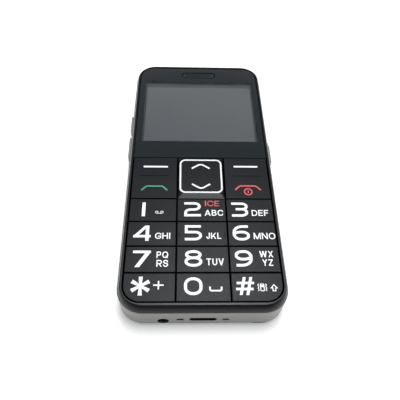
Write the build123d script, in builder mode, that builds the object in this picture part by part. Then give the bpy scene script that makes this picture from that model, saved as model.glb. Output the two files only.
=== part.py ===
from build123d import *
import os

os.makedirs("parts", exist_ok=True)

# A candybar feature phone with large keys, lying on its back.
# Millimetres. +X is the right of the face, +Y points to the earpiece, +Z out of the face.
# The origin is the middle of the flat back.

# Face: key rows, the function row, and the window with the screen in it
middle_column = 19.57
key_row = 10.95
last_key_row = 11.22
function_row = 21.73
screen_width = 50.3
screen_length = 38.3
window_border = 3.545
screen_below_window_top = 11.45
window_below_screen = 10.48
face_corner_radius = 6.5
key_gap = 0.4
key_inset = 0.25
plate_gap = 0.15

# Bezel round the face
rim_gap = 0.3
rim_side = 0.75
rim_end = 0.77
slope_side = 1.2
slope_end = 1.78
ledge_side = 0.35
ledge_end = 0.1
bezel_height = 3.22
bulge_height_share = 0.5
bulge_inset_share = 0.3
body_corner_radius = 9.65
rear_edge_radius = 2.5

# Thickness, from the back to the face
cover_wall = 1.1
cover_gap = 0.25
battery_thickness = 4.8
battery_gap = 0.2
bay_ceiling = 0.7
board_seat = 0.15
board_thickness = 1.0
dome_sheet_thickness = 0.15
dome_height = 0.3
key_travel = 0.35
stem_gap = 0.05
mat_rise = 0.6
mat_thickness = 0.7
mat_gap = 0.05
key_deck_thickness = 0.9
key_floor_gap = 0.2
key_cap_height = 3.25
rim_step = 0.1
lens_thickness = 1.2
mask_thickness = 0.1
shelf_thickness = 0.8

# Fits and finishes
seam = 0.05
fit_gap = 0.1
part_gap = 0.2
loose_gap = 0.3
cut_overrun = 1.0
soft_edge = 0.25

# Walls of the housings
rear_wall = 1.4
tray_wall = 0.9
tray_floor = 0.8
tray_ledge = 0.8
lip_wall = 0.9
cover_edge = 0.2

# Levels worked out from the thicknesses
tray_inset = cover_wall + cover_gap
tray_z = tray_inset
bay_top_z = tray_z + battery_thickness + battery_gap
deck_z = bay_top_z + bay_ceiling
board_z = deck_z + board_seat
board_top_z = board_z + board_thickness
dome_top_z = board_top_z + dome_sheet_thickness + dome_height
stem_foot_z = dome_top_z + key_travel + stem_gap
mat_z = dome_top_z + mat_rise
key_deck_z = mat_z + mat_thickness + mat_gap
key_deck_top_z = key_deck_z + key_deck_thickness
key_underside_z = key_deck_top_z + key_travel + key_floor_gap
key_top_z = key_underside_z + key_cap_height
front_z = key_top_z + rim_step
split_z = front_z - bezel_height
lens_z = key_top_z - lens_thickness
mask_z = lens_z - mask_thickness
shelf_z = mask_z - shelf_thickness
cover_top_z = rear_edge_radius + cover_edge
band_z = cover_top_z + seam
tray_ledge_z = band_z + tray_ledge
tray_floor_top_z = tray_z + tray_floor

# What the housing holds across and along: battery, holders, loudspeaker and screws
battery_width = 44.0
battery_length = 56.0
battery_from_end = 22.5
bay_wall = 0.8
holder_zone = 21.0
sim_width = 26.0
card_width = 14.0
holder_gap = 2.0
speaker_length = 13.0
speaker_gap = 1.8
board_top_inset = 13.5
screw_side_inset = 5.7
screw_head_radius = 1.6
boss_wall = 0.6
boss_radius = screw_head_radius + fit_gap + boss_wall
holder_span = sim_width + holder_gap + card_width
bay_width = max(battery_width, holder_span) + 2 * loose_gap
bay_length = battery_length + holder_zone
least_width = bay_width + 2 * (boss_radius + screw_side_inset)
least_length = battery_from_end + bay_length + bay_wall + speaker_gap + speaker_length + board_top_inset

# Plan sizes worked out from the face, wide and long enough for what the housing holds
bezel_side = rim_gap + rim_side + slope_side
bezel_end = rim_gap + rim_end + slope_end
key_rows_length = last_key_row + 3 * key_row
window_length = screen_below_window_top + screen_length + window_below_screen
face_width = max(screen_width + 2 * window_border, least_width - 2 * bezel_side)
face_length = max(key_rows_length + function_row + window_length, least_length - 2 * bezel_end)
body_width = face_width + 2 * bezel_side
body_length = face_length + 2 * bezel_end
rim_width = body_width - 2 * slope_side
rim_length = body_length - 2 * slope_end
rim_corner_radius = body_corner_radius - slope_side
bulge_side = ledge_side + (slope_side - ledge_side) * bulge_inset_share
bulge_end = ledge_end + (slope_end - ledge_end) * bulge_inset_share
face_bottom = -face_length / 2
face_top = face_length / 2
key_rows_top = face_bottom + key_rows_length
function_top = key_rows_top + function_row
function_middle = (key_rows_top + function_top) / 2
keys_side = face_width / 2 - key_inset
keys_bottom = face_bottom + key_inset
column_edges = [-keys_side, -middle_column / 2, middle_column / 2, keys_side]
row_edges = [key_rows_top - key_row * row for row in range(4)] + [keys_bottom]

# Display: the module under the window's clear area
panel_gap = 0.2
polariser_thickness = 0.15
polariser_side = 0.25
polariser_short = 2.2
polariser_extra = 0.7
panel_thickness = 0.9
panel_side = 0.6
backlight_thickness = 1.1
backlight_side = 0.8
frame_wall = 0.5
frame_floor = 0.4
frame_ledge = 6.0
frame_foot = 1.8
screen_top = face_top - screen_below_window_top
screen_bottom = screen_top - screen_length
screen_middle = (screen_top + screen_bottom) / 2
polariser_z = mask_z - panel_gap - polariser_thickness
panel_z = polariser_z - panel_thickness
backlight_z = panel_z - backlight_thickness
frame_z = backlight_z - frame_floor
polariser_top = screen_top - polariser_short
polariser_bottom = screen_bottom - polariser_extra
polariser_width = screen_width + 2 * polariser_side
panel_width = polariser_width + 2 * panel_side
panel_top = screen_top + panel_side
panel_bottom = polariser_bottom - 2 * panel_side
module_width = panel_width + 2 * backlight_side
module_top = panel_top + backlight_side
module_bottom = panel_bottom - backlight_side
frame_width = module_width + 2 * (fit_gap + frame_wall)
frame_top = module_top + fit_gap + frame_wall
frame_bottom = module_bottom - fit_gap - frame_wall

# Earpiece
earpiece_length = 16.8
earpiece_width = 4.0
earpiece_below_window_top = 5.28
mesh_gap = 0.45
mesh_recess = 0.1
mesh_thickness = 0.3
mesh_wall = 0.4
mesh_hole = 0.25
mesh_pitch = 0.8
mesh_columns = 16
mesh_rows = 3
receiver_length = 15.0
receiver_width = 6.0
receiver_depth = 2.4
receiver_corner = 1.5
earpiece_y = face_top - earpiece_below_window_top
mesh_length = earpiece_length - 2 * mesh_gap
mesh_width = earpiece_width - 2 * mesh_gap

# Keys
stem_width = 8.0
stem_length = 5.0
stem_corner = 0.8
rocker_stem_length = 4.0
rocker_stem_reach = 6.2
nib_length = 2.4
nib_width = 0.6
nib_height = 0.25
nib_inset = 0.75
ridge_length = 12.4
ridge_width = 0.6
ridge_height = 0.2
ridge_above_middle = 1.15
mark_taper = 20
nav_top = 17.8
nav_corner = 2.5
nav_rise = 0.6
nav_top_below_function_top = 1.6
ring_width = 0.72
ring_height = 0.2
dome_radius = 2.2
dome_edge = 0.12

# Side keys
volume_protrusion = 1.25
slider_protrusion = 1.45
side_key_height = 3.2
side_flange = 0.7
side_flange_reach = 0.8
volume_length = 25.4
volume_above_function_top = 17.95
volume_saddle = 3.4
volume_saddle_shift = 1.0
volume_saddle_height = 0.25
volume_ramp = 0.7
volume_flange_gap = 0.45
volume_switch_reach = 8.5
slider_length = 12.8
slider_above_function_top = 9.75
slider_travel = 2.5
slider_tail = 2.9
slider_tail_height = 0.3
slider_ribs = 7
slider_groove = 0.35
slider_stem_length = 6.0
slider_stem_height = 2.0
switch_length = 3.5
switch_depth = 2.0
switch_height = 1.8
switch_button = 0.4
slide_switch_length = 8.0
side_key_z = (band_z + split_z) / 2
side_face = body_width / 2
side_inner = side_face - rear_wall
volume_y = function_top + volume_above_function_top
saddle_y = volume_y + volume_saddle_shift
slider_y = function_top + slider_above_function_top

# Ports in the bottom end
usb_cut_width = 10.0
usb_cut_height = 2.6
usb_width = 7.5
usb_height = 2.5
usb_length = 5.6
usb_shell = 0.3
usb_corner = 0.5
usb_recess = 0.8
usb_tongue_width = 4.4
usb_tongue_height = 0.6
usb_tongue_length = 4.4
jack_x = -14.3
jack_bore_radius = 1.8
jack_hole_radius = 2.1
jack_width = 6.4
jack_height = 5.0
jack_drop = 0.3
jack_length = 13.0
jack_bore_length = 12.0
contact_x = 8.2
contact_slot_width = 2.7
contact_slot_height = 1.4
contact_thickness = 0.4
contact_drop = 0.15
contact_leg = 1.6
microphone_x = 9.5
microphone_radius = 1.5
microphone_height = 1.3
microphone_slot_length = 1.6
microphone_slot_width = 0.5
end_face = -body_length / 2
end_inner = end_face + rear_wall
usb_z = board_z - usb_height / 2
jack_z = board_z - jack_height / 2 - jack_drop
contact_z = usb_z - contact_drop

# Battery and what lies beside it
battery_corner = 2.0
contact_block_width = 11.0
contact_block_length = 3.0
contact_block_height = 3.0
blade_width = 1.2
blade_pitch = 3.2
sim_length = 15.0
sim_height = 1.6
sim_wall = 0.2
card_height = 1.4
speaker_width = 20.0
speaker_corner = 3.0
speaker_x = -10.0
sound_slots = 4
sound_slot_length = 10.0
sound_slot_width = 1.0
sound_slot_pitch = 2.0
motor_radius = 4.0
motor_height = 2.6
motor_x = 12.0
battery_bottom = end_face + battery_from_end
battery_top = battery_bottom + battery_length
bay_half_width = bay_width / 2
bay_bottom = battery_bottom - loose_gap
bay_top = battery_bottom + bay_length
holder_y = battery_top + loose_gap + contact_block_length + holder_gap / 2 + sim_length / 2
speaker_y = bay_top + bay_wall + speaker_gap + speaker_length / 2

# Board, antenna carrier and screws
board_side_gap = 1.6
board_end_gap = 2.3
carrier_gap = 0.8
carrier_height = 5.8
carrier_wall = 0.9
carrier_end_gap = 1.2
shield_width = 17.5
shield_length = 30.0
shield_wall = 0.2
screw_top_inset = 8.0
screw_above_function_top = 2.1
screw_radius = 0.7
screw_head_height = 1.2
screw_end_gap = 0.3
screw_fit = 0.05
front_boss_wall = 1.1
boss_floor = 0.9
drive_radius = 0.7
drive_depth = 0.5
notch_width = 5.0
notch_depth = 1.5
notch_height = 1.1
notch_x = 20.5
board_half_width = side_inner - board_side_gap
board_bottom = end_inner + board_end_gap
board_top = body_length / 2 - board_top_inset
screw_x = side_face - screw_side_inset
screw_top_y = body_length / 2 - screw_top_inset
screw_rows = [screw_top_y, function_top + screw_above_function_top, row_edges[3]]
low_screws = [(side * screw_x, y) for y in screw_rows[1:] for side in (-1, 1)]
top_screws = [(side * screw_x, screw_top_y) for side in (-1, 1)]
front_boss_radius = screw_radius + screw_fit + front_boss_wall
head_top_z = tray_z + screw_head_height + fit_gap
screw_hole_top_z = key_deck_z + key_deck_thickness / 2
top_boss_z = head_top_z + boss_floor
shield_height = frame_z - board_top_z - part_gap
carrier_bottom = board_top + carrier_gap
carrier_top = body_length / 2 - rear_wall - carrier_end_gap
carrier_middle = (carrier_bottom + carrier_top) / 2
carrier_length = carrier_top - carrier_bottom
carrier_half_width = board_half_width - carrier_gap
carrier_top_z = tray_floor_top_z + carrier_height


def body_outline(inset, mode=Mode.ADD):
    """The phone's outline drawn in by an inset, for the sketch."""
    RectangleRounded(
        body_width - 2 * inset, body_length - 2 * inset, body_corner_radius - inset, mode=mode
    )


def face_outline(outset, mode):
    """The outline of the face, let out by an outset, for the sketch."""
    RectangleRounded(
        face_width + 2 * outset, face_length + 2 * outset, face_corner_radius + outset, mode=mode
    )


def edged_rectangle(left, right, bottom, top, mode=Mode.ADD):
    """A rectangle given by its four edges, added to the sketch."""
    with Locations(((left + right) / 2, (bottom + top) / 2)):
        Rectangle(right - left, top - bottom, mode=mode)


def key_cell(column, row):
    """Left, right, bottom and top of a digit key, less half a gap at each shared line."""
    left = column_edges[column] + (key_gap / 2 if column > 0 else 0)
    right = column_edges[column + 1] - (key_gap / 2 if column < 2 else 0)
    top = row_edges[row] - key_gap / 2
    bottom = row_edges[row + 1] + (key_gap / 2 if row < 3 else 0)
    return left, right, bottom, top


def cell_middle(cell):
    """The middle of a cell given by its four edges."""
    left, right, bottom, top = cell
    return (left + right) / 2, (bottom + top) / 2


key_names = [["1", "2", "3"], ["4", "5", "6"], ["7", "8", "9"], ["star", "0", "hash"]]
key_cells = {
    name: key_cell(column, row)
    for row, names in enumerate(key_names)
    for column, name in enumerate(names)
}
function_bottom = key_rows_top + key_gap / 2
left_cell = (column_edges[0], column_edges[1] - key_gap / 2, function_bottom, function_top)
right_cell = (column_edges[2] + key_gap / 2, column_edges[3], function_bottom, function_top)
nav_cell = (column_edges[1] + key_gap / 2, column_edges[2] - key_gap / 2, function_bottom, function_top)
key_places = [cell_middle(cell) for cell in key_cells.values()]
rocker_places = [
    (cell_middle(cell)[0], function_middle + reach)
    for cell in (left_cell, nav_cell, right_cell)
    for reach in (-rocker_stem_reach, rocker_stem_reach)
]
stem_places = key_places + rocker_places


def stem_sketch(outset):
    """Every key stem's section, let out by an outset, added to the sketch."""
    with Locations(*key_places):
        RectangleRounded(stem_width + 2 * outset, stem_length + 2 * outset, stem_corner)
    with Locations(*rocker_places):
        RectangleRounded(stem_width + 2 * outset, rocker_stem_length + 2 * outset, stem_corner)


# Battery cover: a thin tray that clips over the whole back
with BuildPart() as battery_cover:
    with BuildSketch():
        body_outline(0)
    extrude(amount=cover_top_z)
    fillet(battery_cover.faces().sort_by(Axis.Z)[0].edges(), rear_edge_radius)
    with BuildSketch(Plane.XY.offset(cover_wall)):
        body_outline(cover_wall)
    extrude(amount=cover_top_z, mode=Mode.SUBTRACT)
    pocket_floor = battery_cover.faces().filter_by(Axis.Z).sort_by(Axis.Z)[1]
    fillet(pocket_floor.edges(), rear_edge_radius - cover_wall)
    with BuildSketch(Plane.XY.offset(-cut_overrun)):
        with Locations((speaker_x, speaker_y)):
            with GridLocations(0, sound_slot_pitch, 1, sound_slots):
                SlotOverall(sound_slot_length, sound_slot_width)
    extrude(amount=cover_wall + 2 * cut_overrun, mode=Mode.SUBTRACT)
    with BuildSketch(Plane.XY.offset(cover_top_z - notch_height)):
        with Locations((notch_x, end_face)):
            SlotOverall(notch_width, 2 * notch_depth)
    extrude(amount=notch_height, mode=Mode.SUBTRACT)
    with BuildSketch(Plane.XZ.offset(-end_face - rear_edge_radius)):
        with Locations((jack_x, jack_z)):
            Circle(jack_hole_radius)
    extrude(amount=rear_edge_radius + cut_overrun, mode=Mode.SUBTRACT)
battery_cover.part.label = "battery_cover"
export_step(battery_cover.part, "parts/battery_cover.step")

# Rear housing: the silver band with the tray under it, the battery bay and the bosses
with BuildPart() as rear_housing:
    with BuildSketch(Plane.XY.offset(band_z)):
        body_outline(0)
    extrude(amount=split_z - band_z)
    fillet(rear_housing.faces().sort_by(Axis.Z)[-1].edges(), soft_edge)
    with BuildSketch(Plane.XY.offset(tray_z)):
        body_outline(tray_inset)
    extrude(amount=band_z - tray_z)
    fillet(rear_housing.faces().sort_by(Axis.Z)[0].edges(), rear_edge_radius - tray_inset)
    with BuildSketch(Plane.XY.offset(tray_ledge_z)):
        body_outline(rear_wall)
    extrude(amount=split_z, mode=Mode.SUBTRACT)
    with BuildSketch(Plane.XY.offset(tray_floor_top_z)):
        body_outline(tray_inset + tray_wall)
    extrude(amount=tray_ledge_z - tray_floor_top_z, mode=Mode.SUBTRACT)
    with BuildSketch(Plane.XY.offset(tray_floor_top_z)):
        edged_rectangle(
            -bay_half_width - bay_wall, bay_half_width + bay_wall,
            bay_bottom - bay_wall, bay_top + bay_wall,
        )
    extrude(amount=deck_z - tray_floor_top_z)
    with BuildSketch(Plane.XY.offset(tray_floor_top_z)):
        with Locations(*low_screws):
            Circle(boss_radius)
    extrude(amount=board_z - tray_floor_top_z)
    with BuildSketch(Plane.XY.offset(tray_floor_top_z)):
        with Locations(*top_screws):
            Circle(boss_radius)
    extrude(amount=top_boss_z - tray_floor_top_z)
    with BuildSketch(Plane.XY.offset(tray_z)):
        edged_rectangle(-bay_half_width, bay_half_width, bay_bottom, bay_top)
    extrude(amount=bay_top_z - tray_z, mode=Mode.SUBTRACT)
    with BuildSketch(Plane.XY.offset(tray_z)):
        edged_rectangle(-bay_half_width, bay_half_width, battery_top, bay_top)
    extrude(amount=deck_z - tray_z, mode=Mode.SUBTRACT)
    with BuildSketch(Plane.XY.offset(tray_z)):
        with Locations(*low_screws, *top_screws):
            Circle(screw_head_radius + fit_gap)
    extrude(amount=head_top_z - tray_z, mode=Mode.SUBTRACT)
    with BuildSketch(Plane.XY.offset(tray_z)):
        with Locations(*low_screws, *top_screws):
            Circle(screw_radius + screw_fit)
    extrude(amount=board_z - tray_z, mode=Mode.SUBTRACT)
    with BuildSketch(Plane.XY.offset(tray_z)):
        with Locations((speaker_x, speaker_y)):
            with GridLocations(0, sound_slot_pitch, 1, sound_slots):
                SlotOverall(sound_slot_length, sound_slot_width)
    extrude(amount=tray_floor, mode=Mode.SUBTRACT)
    with BuildSketch(Plane.XZ.offset(-end_inner - cut_overrun)):
        with Locations((0, usb_z)):
            SlotOverall(usb_cut_width, usb_cut_height)
        with Locations((jack_x, jack_z)):
            Circle(jack_hole_radius)
        with Locations((-contact_x, contact_z), (contact_x, contact_z)):
            SlotOverall(contact_slot_width, contact_slot_height)
    extrude(amount=rear_wall + 2 * cut_overrun, mode=Mode.SUBTRACT)
    with BuildSketch(Plane.YZ.offset(-side_face - cut_overrun)):
        with Locations((volume_y, side_key_z)):
            Rectangle(volume_length + 2 * loose_gap, side_key_height + 2 * part_gap)
    extrude(amount=rear_wall + 2 * cut_overrun, mode=Mode.SUBTRACT)
    with BuildSketch(Plane.YZ.offset(side_inner - cut_overrun)):
        with Locations((slider_y + slider_travel / 2, side_key_z)):
            Rectangle(
                slider_stem_length + slider_travel + 2 * part_gap,
                slider_stem_height + 2 * part_gap,
            )
    extrude(amount=rear_wall + 2 * cut_overrun, mode=Mode.SUBTRACT)
rear_housing.part.label = "rear_housing"
export_step(rear_housing.part, "parts/rear_housing.step")

# Front housing: the black frame with its bulging bezel, window shelf, key deck and bosses
with BuildPart() as front_housing:
    with BuildSketch(Plane.XY.offset(split_z)):
        RectangleRounded(
            body_width - 2 * ledge_side, body_length - 2 * ledge_end,
            body_corner_radius - ledge_side,
        )
    with BuildSketch(Plane.XY.offset(split_z + bezel_height * bulge_height_share)):
        RectangleRounded(
            body_width - 2 * bulge_side, body_length - 2 * bulge_end,
            body_corner_radius - bulge_side,
        )
    with BuildSketch(Plane.XY.offset(front_z)):
        RectangleRounded(rim_width, rim_length, rim_corner_radius)
    loft()
    fillet(front_housing.faces().sort_by(Axis.Z)[-1].edges(), soft_edge)
    with BuildSketch(Plane.XY.offset(key_deck_z)):
        body_outline(rear_wall + fit_gap)
    extrude(amount=split_z - key_deck_z)
    with BuildSketch(Plane.XY.offset(key_deck_top_z)):
        edged_rectangle(-face_width, face_width, -body_length, function_top + plate_gap / 2)
        face_outline(rim_gap, Mode.INTERSECT)
    extrude(amount=front_z, mode=Mode.SUBTRACT)
    with BuildSketch(Plane.XY.offset(mask_z)):
        face_outline(rim_gap, Mode.ADD)
    extrude(amount=front_z, mode=Mode.SUBTRACT)
    with BuildSketch(Plane.XY.offset(key_deck_z)):
        body_outline(rear_wall + fit_gap + lip_wall)
        edged_rectangle(
            -body_width, body_width, -body_length, frame_bottom - loose_gap, mode=Mode.SUBTRACT
        )
    extrude(amount=shelf_z - key_deck_z, mode=Mode.SUBTRACT)
    with BuildSketch(Plane.XY.offset(shelf_z)):
        edged_rectangle(
            -panel_width / 2 - loose_gap, panel_width / 2 + loose_gap,
            panel_bottom - loose_gap, panel_top + loose_gap,
        )
        with Locations((0, earpiece_y)):
            SlotOverall(mesh_length - 2 * mesh_wall, mesh_width - 2 * mesh_wall)
    extrude(amount=shelf_thickness, mode=Mode.SUBTRACT)
    with BuildSketch(Plane.XY.offset(board_top_z + seam)):
        with Locations(*low_screws):
            Circle(front_boss_radius)
    extrude(amount=key_deck_z - board_top_z - seam)
    with BuildSketch(Plane.XY.offset(carrier_top_z + seam)):
        with Locations(*top_screws):
            Circle(front_boss_radius)
    extrude(amount=shelf_z - carrier_top_z - seam)
    with BuildSketch(Plane.XY.offset(board_z)):
        with Locations(*low_screws, *top_screws):
            Circle(screw_radius + screw_fit)
    extrude(amount=screw_hole_top_z - board_z, mode=Mode.SUBTRACT)
    with BuildSketch(Plane.XY.offset(key_deck_z)):
        stem_sketch(loose_gap)
    extrude(amount=key_deck_thickness, mode=Mode.SUBTRACT)
    with BuildSketch(Plane.XY.offset(key_deck_z)):
        with Locations((microphone_x, (keys_bottom + face_bottom - rim_gap) / 2)):
            SlotOverall(microphone_slot_length, microphone_slot_width)
    extrude(amount=front_z, mode=Mode.SUBTRACT)
front_housing.part.label = "front_housing"
export_step(front_housing.part, "parts/front_housing.step")

# Display window: the clear plate over the upper half of the face, sharp where it meets the keys
with BuildPart() as display_window:
    with BuildSketch(Plane.XY.offset(lens_z)):
        edged_rectangle(-face_width, face_width, function_top + plate_gap, face_top)
        face_outline(0, Mode.INTERSECT)
    extrude(amount=lens_thickness)
    window_edges = display_window.faces().sort_by(Axis.Z)[-1].edges().sort_by(Axis.Y)
    fillet(window_edges[1:], soft_edge)
    with BuildSketch(Plane.XY.offset(lens_z)):
        with Locations((0, earpiece_y)):
            SlotOverall(earpiece_length, earpiece_width)
    extrude(amount=lens_thickness, mode=Mode.SUBTRACT)
display_window.part.label = "display_window"
export_step(display_window.part, "parts/display_window.step")

# Window mask: the black layer behind the window, open over the display and the earpiece
with BuildPart() as window_mask:
    with BuildSketch(Plane.XY.offset(mask_z)):
        edged_rectangle(-face_width, face_width, function_top + plate_gap, face_top)
        face_outline(0, Mode.INTERSECT)
        with Locations((0, screen_middle)):
            Rectangle(screen_width, screen_length, mode=Mode.SUBTRACT)
        with Locations((0, earpiece_y)):
            SlotOverall(earpiece_length, earpiece_width, mode=Mode.SUBTRACT)
    extrude(amount=mask_thickness)
window_mask.part.label = "window_mask"
export_step(window_mask.part, "parts/window_mask.step")

# Earpiece mesh: a perforated cap standing on the shelf inside the slot
with BuildPart() as earpiece_mesh:
    mesh_top_z = key_top_z - mesh_recess
    with BuildSketch(Plane.XY.offset(mask_z)):
        with Locations((0, earpiece_y)):
            SlotOverall(mesh_length, mesh_width)
            SlotOverall(
                mesh_length - 2 * mesh_wall, mesh_width - 2 * mesh_wall, mode=Mode.SUBTRACT
            )
    extrude(amount=mesh_top_z - mask_z)
    with BuildSketch(Plane.XY.offset(mesh_top_z - mesh_thickness)):
        with Locations((0, earpiece_y)):
            SlotOverall(mesh_length, mesh_width)
            with GridLocations(mesh_pitch, mesh_pitch, mesh_columns, mesh_rows):
                Circle(mesh_hole, mode=Mode.SUBTRACT)
    extrude(amount=mesh_thickness)
earpiece_mesh.part.label = "earpiece_mesh"
export_step(earpiece_mesh.part, "parts/earpiece_mesh.step")

# Earpiece receiver: the small speaker under the shelf
with BuildPart() as earpiece_receiver:
    with BuildSketch(Plane.XY.offset(shelf_z - fit_gap - receiver_depth)):
        with Locations((0, earpiece_y)):
            RectangleRounded(receiver_length, receiver_width, receiver_corner)
    extrude(amount=receiver_depth)
    fillet(earpiece_receiver.faces().sort_by(Axis.Z)[0].edges(), soft_edge)
earpiece_receiver.part.label = "earpiece_receiver"
export_step(earpiece_receiver.part, "parts/earpiece_receiver.step")

# Display: polariser, glass panel and backlight, one on another
with BuildPart() as display_polariser:
    with BuildSketch(Plane.XY.offset(polariser_z)):
        edged_rectangle(-polariser_width / 2, polariser_width / 2, polariser_bottom, polariser_top)
    extrude(amount=polariser_thickness)
display_polariser.part.label = "display_polariser"
export_step(display_polariser.part, "parts/display_polariser.step")

with BuildPart() as display_panel:
    with BuildSketch(Plane.XY.offset(panel_z)):
        edged_rectangle(-panel_width / 2, panel_width / 2, panel_bottom, panel_top)
    extrude(amount=panel_thickness)
display_panel.part.label = "display_panel"
export_step(display_panel.part, "parts/display_panel.step")

with BuildPart() as display_backlight:
    with BuildSketch(Plane.XY.offset(backlight_z)):
        edged_rectangle(-module_width / 2, module_width / 2, module_bottom, module_top)
    extrude(amount=backlight_thickness)
    fillet(display_backlight.edges().filter_by(Axis.Z), soft_edge)
display_backlight.part.label = "display_backlight"
export_step(display_backlight.part, "parts/display_backlight.step")

# Display frame: a shallow tray with four feet that stand on the board
with BuildPart() as display_frame:
    with BuildSketch(Plane.XY.offset(frame_z)):
        edged_rectangle(-frame_width / 2, frame_width / 2, frame_bottom, frame_top)
        edged_rectangle(
            -frame_width / 2 + frame_ledge, frame_width / 2 - frame_ledge,
            frame_bottom + frame_ledge, frame_top - frame_ledge, mode=Mode.SUBTRACT,
        )
    extrude(amount=frame_floor)
    with BuildSketch(Plane.XY.offset(frame_z)):
        edged_rectangle(-frame_width / 2, frame_width / 2, frame_bottom, frame_top)
        edged_rectangle(
            -frame_width / 2 + frame_wall, frame_width / 2 - frame_wall,
            frame_bottom + frame_wall, frame_top - frame_wall, mode=Mode.SUBTRACT,
        )
    extrude(amount=frame_floor + backlight_thickness)
    with BuildSketch(Plane.XY.offset(board_top_z)):
        with Locations((0, (frame_bottom + frame_top) / 2)):
            with GridLocations(
                frame_width - 2 * frame_ledge + frame_foot,
                frame_top - frame_bottom - 2 * frame_ledge + frame_foot, 2, 2,
            ):
                Rectangle(frame_foot, frame_foot)
    extrude(amount=frame_z - board_top_z)
display_frame.part.label = "display_frame"
export_step(display_frame.part, "parts/display_frame.step")

# Digit keys: a flat cap with softened edges, on a stem over its dome
for name, cell in key_cells.items():
    with BuildPart() as key:
        with BuildSketch(Plane.XY.offset(key_underside_z)):
            edged_rectangle(*cell)
            face_outline(-key_inset, Mode.INTERSECT)
        extrude(amount=key_cap_height)
        fillet(key.faces().sort_by(Axis.Z)[-1].edges(), soft_edge)
        with BuildSketch(Plane.XY.offset(stem_foot_z)):
            with Locations(cell_middle(cell)):
                RectangleRounded(stem_width, stem_length, stem_corner)
        extrude(amount=key_underside_z - stem_foot_z)
        if name == "5":
            nib_x = middle_column / 2 - key_gap / 2 - nib_inset
            with BuildSketch(Plane.XY.offset(key_top_z)):
                with Locations((0, cell_middle(cell)[1])):
                    with GridLocations(2 * nib_x, 0, 2, 1):
                        SlotOverall(nib_length, nib_width, rotation=90)
            extrude(amount=nib_height, taper=mark_taper)
    key.part.label = f"key_{name}"
    export_step(key.part, f"parts/key_{name}.step")

# Function keys: two rocking plates beside the navigation key, each with a ridge to feel
for name, cell in (("left_function_key", left_cell), ("right_function_key", right_cell)):
    with BuildPart() as plate:
        with BuildSketch(Plane.XY.offset(key_underside_z)):
            edged_rectangle(*cell)
        extrude(amount=key_cap_height)
        fillet(plate.faces().sort_by(Axis.Z)[-1].edges(), soft_edge)
        with BuildSketch(Plane.XY.offset(stem_foot_z)):
            with Locations((cell_middle(cell)[0], function_middle)):
                with GridLocations(0, 2 * rocker_stem_reach, 1, 2):
                    RectangleRounded(stem_width, rocker_stem_length, stem_corner)
        extrude(amount=key_underside_z - stem_foot_z)
        with BuildSketch(Plane.XY.offset(key_top_z)):
            with Locations((cell_middle(cell)[0], function_middle + ridge_above_middle)):
                SlotOverall(ridge_length, ridge_width)
        extrude(amount=ridge_height, taper=mark_taper)
    plate.part.label = name
    export_step(plate.part, f"parts/{name}.step")

# Navigation key: a plate that rises with sloping sides to a square top
nav_plate_z = key_top_z - soft_edge
nav_top_z = key_top_z + nav_rise
nav_top_y = function_top - nav_top_below_function_top - nav_top / 2
with BuildPart() as nav_key:
    with BuildSketch(Plane.XY.offset(key_underside_z)):
        edged_rectangle(*nav_cell)
    extrude(amount=nav_plate_z - key_underside_z)
    with BuildSketch(Plane.XY.offset(nav_plate_z)):
        edged_rectangle(*nav_cell)
        fillet(vertices(), soft_edge)
    with BuildSketch(Plane.XY.offset(nav_top_z)):
        with Locations((0, nav_top_y)):
            RectangleRounded(nav_top, nav_top, nav_corner)
    loft(ruled=True)
    with BuildSketch(Plane.XY.offset(stem_foot_z)):
        with Locations((0, function_middle)):
            with GridLocations(0, 2 * rocker_stem_reach, 1, 2):
                RectangleRounded(stem_width, rocker_stem_length, stem_corner)
    extrude(amount=key_underside_z - stem_foot_z)
nav_key.part.label = "nav_key"
export_step(nav_key.part, "parts/nav_key.step")

# Navigation key ring: the white square frame on the key's top
with BuildPart() as nav_key_ring:
    with BuildSketch(Plane.XY.offset(nav_top_z)):
        with Locations((0, nav_top_y)):
            RectangleRounded(nav_top, nav_top, nav_corner)
            RectangleRounded(
                nav_top - 2 * ring_width, nav_top - 2 * ring_width, nav_corner - ring_width,
                mode=Mode.SUBTRACT,
            )
    extrude(amount=ring_height)
    fillet(nav_key_ring.faces().sort_by(Axis.Z)[-1].edges(), ring_height / 2)
nav_key_ring.part.label = "nav_key_ring"
export_step(nav_key_ring.part, "parts/nav_key_ring.step")

# Keypad mat: a rubber sheet under the key deck, open round each stem and boss
with BuildPart() as keypad_mat:
    with BuildSketch(Plane.XY.offset(mat_z)):
        edged_rectangle(
            -board_half_width + loose_gap, board_half_width - loose_gap,
            board_bottom, function_top - plate_gap,
        )
        fillet(vertices(), face_corner_radius - loose_gap)
        with Locations(*key_places):
            Rectangle(stem_width + 2 * loose_gap, stem_length + 2 * loose_gap, mode=Mode.SUBTRACT)
        with Locations(*rocker_places):
            Rectangle(
                stem_width + 2 * loose_gap, rocker_stem_length + 2 * loose_gap, mode=Mode.SUBTRACT
            )
        with Locations(*low_screws):
            Circle(front_boss_radius + part_gap, mode=Mode.SUBTRACT)
        with Locations((microphone_x, board_bottom + microphone_radius)):
            Circle(microphone_radius + loose_gap, mode=Mode.SUBTRACT)
    extrude(amount=mat_thickness)
keypad_mat.part.label = "keypad_mat"
export_step(keypad_mat.part, "parts/keypad_mat.step")

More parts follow.
